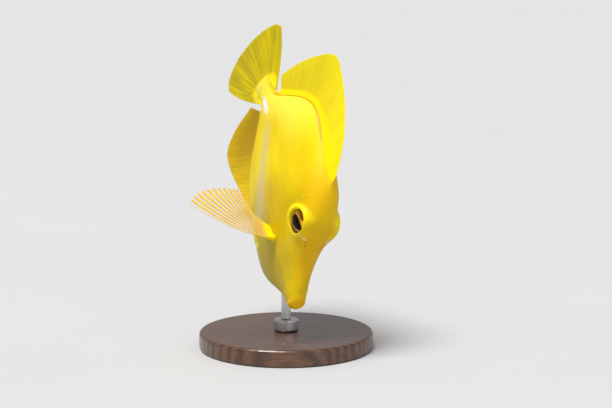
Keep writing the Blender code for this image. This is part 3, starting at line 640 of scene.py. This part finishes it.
def stretched(tree, vector, scale):
    """A vector with its parts scaled."""
    return add(tree, 'VectorMath', {0: vector, 1: scale}, operation='MULTIPLY').outputs[0]


def noise(tree, place, scale, detail=2.0, roughness=0.5):
    """Noise with a scale of its own along each axis."""
    return add(tree, 'TexNoise', {"Vector": stretched(tree, place, scale), "Scale": 1.0,
                                  "Detail": detail, "Roughness": roughness}).outputs["Fac"]


def raised(tree, height, strength, distance):
    """A normal that follows a fine height."""
    node = add(tree, 'Bump', {"Strength": strength, "Distance": distance, "Height": height})
    return node.outputs["Normal"]


def new_material(name):
    material = bpy.data.materials.new(name)
    material.use_nodes = True
    tree = material.node_tree
    return material, tree, tree.nodes["Principled BSDF"]


def skin_material():
    material, tree, surface = new_material("tang_skin")
    place = held_value(tree, "body_mm", vector=True)
    clouds = noise(tree, place, (0.024, 0.06, 0.050), 3.0)
    cloudy = stepped(tree, clouds, 0.30, 0.70)
    # The body's yellow, darker over the head and lower down at the front: painted shade there
    rear = mixed(tree, cloudy, (0.78, 0.57, 0.0), (0.92, 0.72, 0.0))
    front = mixed(tree, cloudy, (0.55, 0.38, 0.0), (0.66, 0.46, 0.0))
    colour = mixed(tree, held_value(tree, "front"), rear, front)
    streaks = noise(tree, place, (0.06, 0.2, 0.40))
    colour = tinted(tree, colour, stepped(tree, streaks, 0.45, 0.75), 0.12, (1.0, 0.82, 0.0))
    pores = noise(tree, place, (2.0, 2.0, 1.4))
    colour = tinted(tree, colour, stepped(tree, pores, 0.52, 0.78), 0.07, (0.62, 0.40, 0.0))
    # Painted light among these tints: a highlight on the upper rear of the back and on the rim over the
    # eye, and shade in the creases at the fin roots, in the slits, nostrils and vent, over the head and
    # lower front, and in part on the chest
    for title, share, tint in (("painted_sheen", 0.60, (1.0, 0.88, 0.10)), ("golden", 0.60, (0.92, 0.56, 0.0)),
                               ("chest", 0.70, (0.46, 0.37, 0.02)), ("pale", 0.60, (0.62, 0.52, 0.32)),
                               ("warm", 0.60, (0.80, 0.40, 0.0)), ("crease_and_shade", 0.70, (0.50, 0.24, 0.0)),
                               ("brow", 0.95, (1.0, 0.88, 0.0)), ("light", 0.85, (0.92, 0.88, 0.88)),
                               ("recess_shade", 0.90, (0.16, 0.085, 0.004))):
        colour = tinted(tree, colour, held_value(tree, title), share, tint)

    scales = add(tree, 'TexVoronoi', {"Vector": stretched(tree, place, (2.2, 1.6, 1.9)), "Scale": 1.0},
                 feature='F1')
    grain = noise(tree, place, (3.0, 3.0, 1.6), 3.0)
    height = scaled(tree, scales.outputs["Distance"], -0.6, grain)
    feed(tree, surface, {
        "Base Color": colour, "Normal": raised(tree, height, 0.30, 0.00010),
        "Roughness": scaled(tree, pores, 0.08, scaled(tree, clouds, 0.12, 0.40)),
        "Specular IOR Level": 0.13, "Coat Weight": 0.05, "Coat Roughness": 0.28,
        "Subsurface Weight": 0.10, "Subsurface Radius": (1.0, 0.6, 0.05), "Subsurface Scale": 0.0015,
    })
    return material


def fin_material(name, ray_colour, web_colour, root_colours, web_alpha, streaks, rear_shade=0.0):
    """A fin's finish: rays, web, the flesh of its root, dark streaks of painted shade in its folds and
    painted shade over its rear end.
    """
    material, tree, surface = new_material(name)
    place = held_value(tree, "fin_mm", vector=True)
    ray = held_value(tree, "ray")
    flesh = held_value(tree, "flesh")
    fold_shade = noise(tree, place, (0.16, 0.03, 1.0), 3.0, 0.55)
    fine = noise(tree, place, (1.6, 0.16, 1.0))
    colour = mixed(tree, ray, web_colour, ray_colour)
    colour = tinted(tree, colour, stepped(tree, fine, 0.45, 0.75), 0.18, ray_colour)
    # Dark streaks along the rays: painted shade in the folds of the fin
    colour = tinted(tree, colour, stepped(tree, fold_shade, 0.42, 0.64), streaks, (0.27, 0.22, 0.004))
    # Painted shade over the rear end of the fin
    colour = tinted(tree, colour, held_value(tree, "rear"), rear_shade, (0.34, 0.20, 0.0))
    colour = mixed(tree, stepped(tree, flesh, 0.08, 0.45), colour, root_colours[1])
    colour = mixed(tree, stepped(tree, flesh, 0.60, 0.85), colour, root_colours[0])
    if web_alpha < 1.0:
        solid = figured(tree, 'MAXIMUM', ray, flesh)
        solid = scaled(tree, held_value(tree, "tip"), -0.45 * (1.0 - web_alpha), solid)
        alpha = scaled(tree, stepped(tree, solid, 0.05, 0.75), 1.0 - web_alpha, web_alpha)
        feed(tree, surface, {"Alpha": alpha})
    joints = add(tree, 'TexWave', {"Vector": stretched(tree, place, (0.0, 1.0, 0.0)), "Scale": 0.55,
                                   "Distortion": 0.4}, bands_direction='Y')
    height = scaled(tree, joints.outputs["Fac"], figured(tree, 'MULTIPLY', ray, 0.4), fine)
    feed(tree, surface, {
        "Base Color": colour, "Normal": raised(tree, height, 0.22, 0.00008),
        "Roughness": scaled(tree, fine, 0.16, 0.36),
        "Specular IOR Level": 0.12, "Coat Weight": 0.03, "Coat Roughness": 0.25,
        "Subsurface Weight": 0.15, "Subsurface Radius": (1.0, 0.6, 0.05), "Subsurface Scale": 0.0010,
    })
    return material


def eye_material():
    """The finish of an eye, from how far each place is from the middle of the pupil: its edge is at 1."""
    material, tree, surface = new_material("tang_eye")
    pupil = held_value(tree, "pupil")
    fibres = noise(tree, held_value(tree, "eye_polar", vector=True), (1.0, 0.22, 1.0), 3.0, 0.65)
    colour = mixed(tree, stepped(tree, fibres, 0.35, 0.65), (0.16, 0.055, 0.003), (0.48, 0.19, 0.006))
    colour = tinted(tree, colour, held_value(tree, "gold"), 0.85, (0.92, 0.40, 0.01))
    ring = figured(tree, 'MULTIPLY', stepped(tree, pupil, 0.98, 1.03),
                   figured(tree, 'SUBTRACT', 1.0, stepped(tree, pupil, 1.06, 1.14)))
    colour = tinted(tree, colour, ring, 0.45, (0.70, 0.40, 0.03))
    colour = mixed(tree, stepped(tree, pupil, 1.34, 1.50), colour, (0.12, 0.045, 0.003))
    colour = mixed(tree, stepped(tree, pupil, 0.95, 1.0), (0.001, 0.001, 0.0015), colour)
    feed(tree, surface, {
        "Base Color": colour, "Normal": raised(tree, fibres, 0.25, 0.00010),
        "Roughness": scaled(tree, fibres, 0.06, 0.05),
        "Specular IOR Level": 0.10, "Coat Weight": 0.05, "Coat Roughness": 0.04,
    })
    return material


def spine_material():
    material, tree, surface = new_material("tang_spine")
    grain = noise(tree, held_value(tree, "body_mm", vector=True), (0.8, 3.0, 5.0), 3.0)
    feed(tree, surface, {
        "Base Color": mixed(tree, stepped(tree, grain, 0.35, 0.75), (0.96, 0.94, 0.94), (0.84, 0.80, 0.79)),
        "Normal": raised(tree, grain, 0.2, 0.00005), "Roughness": scaled(tree, grain, 0.15, 0.18),
        "Coat Weight": 0.5,
    })
    return material


def wood_material():
    material, tree, surface = new_material("stand_wood")
    place = add(tree, 'TexCoord').outputs["Object"]
    warp = noise(tree, place, (9.0, 60.0, 30.0), 4.0)
    warped = add(tree, 'VectorMath', {0: warp, 1: (0.0, 0.011, 0.0), 2: place},
                 operation='MULTIPLY_ADD').outputs[0]
    rings = add(tree, 'TexWave', {"Vector": stretched(tree, warped, (1.0, 9.0, 9.0)), "Scale": 9.0,
                                  "Distortion": 2.5, "Detail": 2.0, "Detail Scale": 1.5},
                bands_direction='Y')
    fibres = noise(tree, place, (45.0, 1400.0, 900.0), 3.0)
    colour = mixed(tree, rings.outputs["Fac"], (0.060, 0.024, 0.011), (0.150, 0.066, 0.028))
    feed(tree, surface, {
        "Base Color": tinted(tree, colour, stepped(tree, fibres, 0.45, 0.70), 0.55, (0.035, 0.013, 0.006)),
        "Normal": raised(tree, fibres, 0.25, 0.00008), "Roughness": scaled(tree, fibres, 0.22, 0.26),
        "Coat Weight": 0.4, "Coat Roughness": 0.12,
    })
    return material


def steel_material():
    material, tree, surface = new_material("stand_steel")
    brushed = noise(tree, add(tree, 'TexCoord').outputs["Object"], (900.0, 900.0, 60.0), 3.0)
    feed(tree, surface, {
        "Base Color": mixed(tree, brushed, (0.50, 0.50, 0.51), (0.66, 0.66, 0.67)),
        "Normal": raised(tree, brushed, 0.15, 0.00003), "Roughness": scaled(tree, brushed, 0.20, 0.22),
        "Metallic": 1.0,
    })
    return material


def floor_material():
    material, tree, surface = new_material("pale_floor")
    clouds = noise(tree, add(tree, 'TexCoord').outputs["Object"], (6.0, 6.0, 6.0), 3.0)
    feed(tree, surface, {"Base Color": mixed(tree, clouds, (0.60, 0.605, 0.615), (0.64, 0.645, 0.655)),
                         "Roughness": 0.75})
    return material


def build_skin():
    """One skin over head, trunk, lips and the flesh on the tail fin, closed at the snout and the tail."""
    rounded = SNOUT_ROUND * (1.0 - np.cos(np.radians(np.linspace(5.0, 90.0, TIP_RINGS))))
    head = np.linspace(SNOUT_ROUND, HEAD_END, HEAD_RINGS)[1:]
    trunk = np.linspace(HEAD_END, 1.0, TRUNK_RINGS)[1:]
    flesh = 1.0 + TAIL_FLESH * np.sin(np.radians(np.linspace(0.0, 90.0, TAIL_FLESH_RINGS)))[1:]
    s = np.concatenate([rounded, head, trunk, flesh])
    turn = even_turns(s)
    s_grid = np.repeat(s[:, None], AROUND, axis=1)
    points = bare_skin(s_grid, turn)
    height = points[..., 2] / LENGTH
    side = np.sin(turn)
    normals = grid_normals(points, side)
    relief, rim, tints = skin_relief(points, s_grid, height, side)
    points += normals * relief[..., None]
    points[..., 1] += np.sign(side) * rim * (np.abs(points[..., 1]) > 0.004)
    dip_under_eye(points, eye_distance(s_grid, height), side)

    rings = len(s)
    tip = spots(0.0, 0.0, WIDEST[0][1])
    everything = np.concatenate([points.reshape(-1, 3), tip[None, :]])
    faces, corners = shell(rings, AROUND)
    close_end(faces, corners, rings * AROUND, 0, AROUND, 0)
    last = (rings - 1) * AROUND
    for j in range(AROUND // 2):
        left = (last + j, last + j + 1)
        right = (last + AROUND - j - 1, last + (AROUND - j) % AROUND)
        places = {left[0]: (j, 1.0 - MAP_EDGE), left[1]: (j + 1, 1.0 - MAP_EDGE),
                  right[0]: (j + 1, 1.0), right[1]: (j, 1.0)}
        loop = list(dict.fromkeys(left + right))
        faces.append(loop)
        corners += [[places[v][0] / AROUND, places[v][1]] for v in loop]
    values = {title: np.append(numbers, numbers[0, 0]) for title, numbers in tints.items()}
    values["body_mm"] = everything * 1000.0
    flesh_nodes = ("head", "torso", "tail_peduncle", "upper_lip", "lower_lip")
    make_piece("tang_skin", bent(everything), faces, corners, values, skin_material(), flesh_nodes)


def build_eyes():
    """Eyeballs made of rings from front to back, with distances from the pupil for their finish."""
    open_angle = np.linspace(0.0, 1.0, EYE_RINGS + 2)[1:-1, None] ** 1.15 * math.pi
    around = 2.0 * math.pi * np.arange(EYE_COLUMNS)[None, :] / EYE_COLUMNS
    reach = np.sin(open_angle) * (1.0 - EYE_SLIM * smooth(open_angle, 0.98, 1.55))
    ahead = reach * np.cos(around) * EYE_RADII[0]
    up = reach * np.sin(around) * EYE_RADII[2]
    along, across = leaning(ahead - PUPIL_SHIFT[0], up - PUPIL_SHIFT[1], PUPIL_TILT)
    pointed = 1.0 + PUPIL_POINT * np.clip(along / PUPIL[0], -1.2, 1.2)
    pupil = np.hypot(along / PUPIL[0], across * pointed / PUPIL[1])
    pupil = np.where(open_angle > EYE_BACK, 3.0, pupil)
    lens = LENS_RISE * fade(pupil, 0.80, 1.0) - IRIS_DEPTH * window(pupil, 0.98, 1.10, 1.50, 1.75)
    out = np.cos(open_angle) * EYE_RADII[1] + lens
    gold = bump_at(np.hypot(ahead - GOLD_PLACE[0], up - GOLD_PLACE[1]), 0.0, GOLD_SPREAD)
    polar = np.stack(np.broadcast_arrays(np.cos(around), open_angle, np.sin(around)), axis=-1) * 9.0
    values = {"pupil": np.append(pupil, [0.0, 3.0]), "gold": np.append(gold, [0.0, 0.0]),
              "eye_polar": np.concatenate([polar.reshape(-1, 3), np.zeros((2, 3))])}
    finish = eye_material()
    count = EYE_RINGS * EYE_COLUMNS
    for side, word in SIDES:
        local = np.stack([ahead, side * out, up], axis=-1).reshape(-1, 3)
        poles = np.array([(0.0, side * (EYE_RADII[1] + LENS_RISE), 0.0), (0.0, -side * EYE_RADII[1], 0.0)])
        turn = np.array(Euler((side * EYE_LIFT, 0.0, -side * EYE_TURN)).to_matrix())
        centre = spots(EYE_PLACE[0], side * EYE_DEPTH / LENGTH, EYE_PLACE[1])
        points = np.concatenate([local, poles]) @ turn.T + centre
        faces, corners = shell(EYE_RINGS, EYE_COLUMNS)
        close_end(faces, corners, count, 0, EYE_COLUMNS, 0)
        close_end(faces, corners, count + 1, count - EYE_COLUMNS, EYE_COLUMNS, 1)
        if side > 0.0:
            faces, corners = turned_over(faces, corners)
        make_piece("tang_eye_" + word, bent(points), faces, corners, values, finish,
                   ("eye_" + word,))


def build_spines():
    """The white spines at the root of the tail, each a keeled drop that points ahead."""
    along = np.linspace(-1.0, 1.0, SPINE_ROWS)[:, None]
    around = 2.0 * math.pi * np.arange(SPINE_COLUMNS)[None, :] / SPINE_COLUMNS
    size = np.sqrt(np.clip(1.0 - along ** 2, 0.0, 1.0)) * (0.80 - 0.20 * along) + 0.004
    keel = SPINE_KEEL * np.maximum(np.cos(around), 0.0) ** 6 * size
    out = np.cos(around) * size * SPINE_THICKNESS / 2.0 + keel
    up = np.sin(around) * size * SPINE_HEIGHT / 2.0
    half = flank(np.array(SPINE_PLACE), np.array(0.0)) + 0.0001 / LENGTH
    finish = spine_material()
    for side, word in SIDES:
        local = np.stack(np.broadcast_arrays(along * SPINE_LENGTH / 2.0, side * out, up), axis=-1)
        turn = np.array(Euler((0.0, 0.0, side * SPINE_TURN)).to_matrix())
        points = local.reshape(-1, 3) @ turn.T + spots(SPINE_PLACE, side * half, 0.0)
        faces, corners = shell(SPINE_ROWS, SPINE_COLUMNS)
        for ring, fall, way in ((0, 0.0, -1), ((SPINE_ROWS - 1) * SPINE_COLUMNS, 1.0, 1)):
            faces.append([ring + j for j in range(SPINE_COLUMNS)][::way])
            corners += [[0.4 + 0.2 * (j / SPINE_COLUMNS), abs(fall - 0.01 * (1 + j % 2))]
                        for j in range(SPINE_COLUMNS)]
        if side > 0.0:
            faces, corners = turned_over(faces, corners)
        make_piece("tang_spine_" + word, bent(points), faces, corners, {"body_mm": points * 1000.0},
                   finish, ("caudal_spine_" + word,))


def ray_relief(phase, along, fin):
    """1 on the middle of a ray and 0 on the web; soft rays fork twice on their way out."""
    number = np.round(phase)
    off = phase - number
    soft = number >= fin.spines
    fork = np.where(soft, 0.135 * smooth(along, 0.36, 0.62), 0.0)
    twig = np.where(soft, 0.062 * smooth(along, 0.66, 0.88), 0.0)
    slim = fin.spread * (1.0 - 0.50 * smooth(along, 0.30, 0.90))
    relief = 0.0
    for fork_side in (-1.0, 1.0):
        for twig_side in (-1.0, 1.0):
            relief = np.maximum(relief, bump_at(off, fork_side * fork + twig_side * twig, slim))
    return relief, soft


def build_fin(node, spread, fin, finish):
    """A closed thin fin: two faces over one sheet, with its rays raised on both, fleshier at the nape."""
    columns = fin.per_ray * (fin.rays - 1)
    place = np.linspace(0.0, 1.0, columns + 1)[None, :]
    along = (np.linspace(0.0, 1.0, fin.rows) ** 0.92)[:, None]
    phase = place * (fin.rays - 1)
    ray, soft = ray_relief(phase, along, fin)
    between = 0.5 - 0.5 * np.cos(2.0 * math.pi * phase)
    draws = np.random.default_rng(fin.seed)
    uneven = np.interp(phase[0], np.arange(fin.rays), draws.uniform(0.0, 0.006, fin.rays))[None, :]
    notch = between * np.where(phase < fin.spines - 0.5, fin.spine_notch, fin.soft_notch)
    sheet = spread(place, along * (1.0 - notch - uneven), along)
    normals = unit(np.cross(np.gradient(sheet, axis=0), np.gradient(sheet, axis=1)))
    travelled = np.cumsum(np.linalg.norm(np.diff(sheet, axis=0, prepend=sheet[:1]), axis=-1), axis=0)
    fuller = 1.0 + fin.nape * (smooth(place, 0.0, 0.16) - smooth(place, 0.16, 0.60))
    flesh = np.clip(1.0 - travelled / (fin.flesh * fuller), 0.0, 1.0) ** 1.5
    ridge = np.where(soft, 1.0, 1.15) * fin.ray * ray + fin.web * (1.0 - ray)
    thickness = ridge * (1.0 - 0.55 * along ** 2) * (1.0 - flesh) + fin.root * fuller * flesh
    thickness *= (1.0 - 0.6 * smooth(along, 0.985, 1.0)) * (0.55 + 0.45 * smooth(place, 0.0, 0.03))
    half = normals * thickness[..., None] / 2.0
    points = np.concatenate([sheet + half, (sheet - half)[:, ::-1]], axis=1)
    count = 2 * (columns + 1)
    faces, corners = shell(fin.rows, count)
    for ring, fall, rim, way in ((0, MAP_EDGE, 0.0, -1), ((fin.rows - 1) * count, 1.0 - MAP_EDGE, 1.0, 1)):
        for j in range(columns):
            loop = [ring + j, ring + j + 1, ring + count - j - 2, ring + count - j - 1]
            places = [[j / count, fall], [(j + 1) / count, fall], [(j + 1) / count, rim], [j / count, rim]]
            faces.append(loop[::way])
            corners += places[::way]
    width = np.linalg.norm(np.diff(sheet[fin.rows // 2], axis=0), axis=-1).sum()
    flat = np.stack(np.broadcast_arrays(place * width, travelled, 0.0), axis=-1) * 1000.0
    held = {
        "fin_mm": flat, "ray": ray, "flesh": np.clip(flesh * 1.6, 0.0, 1.0),
        "tip": smooth(along, 0.88, 1.0) + 0.0 * ray,
        # where painted shade darkens a fin: towards its rear end, and less out at its edge
        "rear": smooth(place, 0.25, 0.95) * (1.0 - 0.4 * smooth(along, 0.5, 1.0)),
    }
    values = {title: np.concatenate([numbers, numbers[:, ::-1]], axis=1) for title, numbers in held.items()}
    make_piece("tang_" + node, bent(points), faces, corners, values, finish, (node,))


def median_spread(base, edge, profile, side):
    """The sheet of a fin on the back (side 1) or the belly (side -1)."""
    def spread(place, reach, along):
        s = np.interp(place, (0.0, 1.0), base)
        foot = curve(profile, s) - side * SINK / LENGTH
        tip_s, tip_height = edge_curve(edge, place)
        bow = MEDIAN_BOW * reach * (1.0 - reach) * (tip_height - foot)
        back = s + (tip_s - s) * reach ** MEDIAN_LEAN
        sway = MEDIAN_SWAY * np.sin(math.pi * (1.6 * place + 0.2)) * along ** 2
        return spots(back, sway, foot + (tip_height - foot) * reach + bow)
    return spread


def tail_spread(place, reach, along):
    """The sheet of the tail fin, fanning out from inside the end of the peduncle."""
    half = 2.0 * np.abs(place - 0.5)
    wrap = np.maximum(half - 1.0 + TAIL_WRAP, 0.0) / TAIL_WRAP
    root_s = 1.0 - 0.012 - (1.0 - TAIL_ROOT_START - 0.012) * wrap
    root_height = np.sign(0.5 - place) * TAIL_ROOT * 0.94 * np.minimum(half / (1.0 - TAIL_WRAP), 1.0)
    tip_s, tip_height = edge_curve(TAIL_EDGE, place)
    bow = TAIL_BOW * reach * (1.0 - reach) * (0.5 - place) * half
    s = root_s + (tip_s - root_s) * reach
    height = root_height + (tip_height - root_height) * reach + bow
    sway = TAIL_SWAY * along ** 2 * np.cos(math.pi * (place - 0.3))
    return spots(s, sway, height)


def pectoral_root(place, way):
    """The s and height of places along a pectoral fin's root, which lies a given way in the side view."""
    along = (place - 0.5) * PECTORAL_ROOT / LENGTH
    return PECTORAL_PLACE[0] + way[0] * along, PECTORAL_PLACE[1] + way[1] * along


def pectoral_spread(place, reach, along):
    """The sheet of the right pectoral fin, spread wide, with its rays swept back towards their tips."""
    s, height = pectoral_root(place, SPREAD_ROOT)
    side = -flank(s, height) + SINK / LENGTH
    fan = SPREAD_FAN[0] + SPREAD_FAN[1] * place + SPREAD_FAN[2] * place ** 2
    length = curve(PECTORAL_LENGTHS, place) * reach
    bow = SPREAD_BOW * np.sin(math.pi * reach)
    cup = SPREAD_CUP * np.sin(math.pi * place) * along
    return spots(s + np.sin(fan) * length - np.cos(fan) * bow,
                 side - np.cos(fan) * length - np.sin(fan) * bow, height + cup)


def folded_spread(place, reach, along):
    """The sheet of the left pectoral fin, laid back along the flank."""
    s, height = pectoral_root(place, FOLDED_ROOT)
    fan = FOLDED_FAN[0] + FOLDED_FAN[1] * place
    length = curve(FOLDED_LENGTHS, place) * reach
    s = s + np.cos(fan) * length
    height = height + np.sin(fan) * length
    lift = -0.004 + 0.012 * smooth(along, 0.0, 0.16) + 0.026 * along
    return spots(s, flank(s, height) + lift, height)


def pelvic_spread(side):
    """The sheet of a pelvic fin, folded back along the belly on one side."""
    def spread(place, reach, along):
        s = np.interp(place, (0.0, 1.0), PELVIC_PLACE) + curve(PELVIC_LENGTHS, place) * reach
        turn = np.interp(place, (0.0, 1.0), PELVIC_TURN)
        turn = side * (turn - PELVIC_FAN * (1.0 - place) * along)
        s, turn = np.broadcast_arrays(s, turn)
        ahead = bare_skin(s, turn + 0.02) - bare_skin(s, turn - 0.02)
        out = unit(np.cross(np.array([1.0, 0.0, 0.0]), ahead))
        lift = -0.0004 + 0.0006 * smooth(along, 0.0, 0.2)
        return bare_skin(s, turn) + out * lift[..., None]
    return spread


def build_fins():
    yellow = (0.96, 0.77, 0.0)
    bright = (0.99, 0.82, 0.01)
    ochre = (0.80, 0.50, 0.0)
    olive = (0.67, 0.52, 0.0)
    # After the alpha of the web, each finish takes the share of painted shade in the fin's folds and, where
    # given, over its rear end
    median = fin_material("tang_median_fins", bright, yellow, (yellow, yellow), 1.0, 0.10, 0.28)
    lower = fin_material("tang_anal_fin", (0.86, 0.60, 0.0), ochre, (ochre, ochre), 1.0, 0.22, 0.85)
    tail = fin_material("tang_tail_fin", (0.74, 0.59, 0.0), olive, (bright, yellow), 0.95, 0.42)
    clear = fin_material("tang_paired_fins", (0.90, 0.60, 0.03), (0.88, 0.78, 0.58),
                         ((1.0, 0.84, 0.0), (0.93, 0.63, 0.11)), 0.10, 0.0)
    build_fin("dorsal_fin", median_spread(DORSAL_BASE, DORSAL_EDGE, BACK, 1.0), DORSAL, median)
    build_fin("anal_fin", median_spread(ANAL_BASE, ANAL_EDGE, BELLY, -1.0), ANAL, lower)
    build_fin("caudal_fin", tail_spread, TAIL, tail)
    build_fin("pectoral_fin_right", pectoral_spread, PECTORAL_SPREAD, clear)
    build_fin("pectoral_fin_left", folded_spread, PECTORAL_FOLDED, clear)
    for side, word in SIDES:
        build_fin("pelvic_fin_" + word, pelvic_spread(side), PELVIC, tail)


def finish_stand():
    steel = steel_material()
    for name, finish in (("stand_base", wood_material()), ("stand_collar", steel), ("stand_rod", steel)):
        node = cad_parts[name]
        node.data.materials.clear()
        node.data.materials.append(finish)


def add_sun(name, way, strength, width, tint):
    """A large soft lamp far away, on a way as seen from the model."""
    lamp = bpy.data.lights.new(name, 'SUN')
    lamp.energy = strength
    lamp.angle = width
    lamp.color = tint
    placed(name, lamp).rotation_euler = Vector(way).to_track_quat('Z', 'Y').to_euler()


def build_studio():
    half = FLOOR_SIZE / 2.0
    mesh = bpy.data.meshes.new("floor")
    mesh.from_pydata([(-half, -half, 0.0), (half, -half, 0.0), (half, half, 0.0), (-half, half, 0.0)], [],
                     [(0, 1, 2, 3)])
    mesh.materials.append(floor_material())
    floor = placed("floor", mesh)

    world = bpy.data.worlds.new("studio")
    world.use_nodes = True
    feed(world.node_tree, world.node_tree.nodes["Background"], SKY)
    bpy.context.scene.world = world

    add_sun("key", *KEY_SUN)
    add_sun("fill", *FILL_SUN)
    bpy.context.scene.view_settings.view_transform = 'Standard'


def build_camera():
    lens = bpy.data.cameras.new("camera")
    lens.sensor_width = 36.0
    lens.lens = FOCAL_LENGTH
    lens.clip_start = 0.01
    lens.clip_end = FLOOR_SIZE
    camera = placed("camera", lens)
    camera.rotation_euler = (math.pi / 2.0 - CAMERA_TILT, 0.0, 0.0)
    reach = Euler((-CAMERA_TILT, 0.0, 0.0)).to_matrix() @ Vector(CAMERA_REACH)
    camera.location = Vector(FISH_PLACE) - reach
    bpy.context.scene.camera = camera


FISH_TURN = np.array(Euler((ROLL, DIVE, HEADING)).to_matrix())
HEAD_LINE = smooth_line(HEAD_EDGE)

build_camera()
build_studio()
build_skin()
build_eyes()
build_spines()
build_fins()
finish_stand()

bpy.context.view_layer.update()
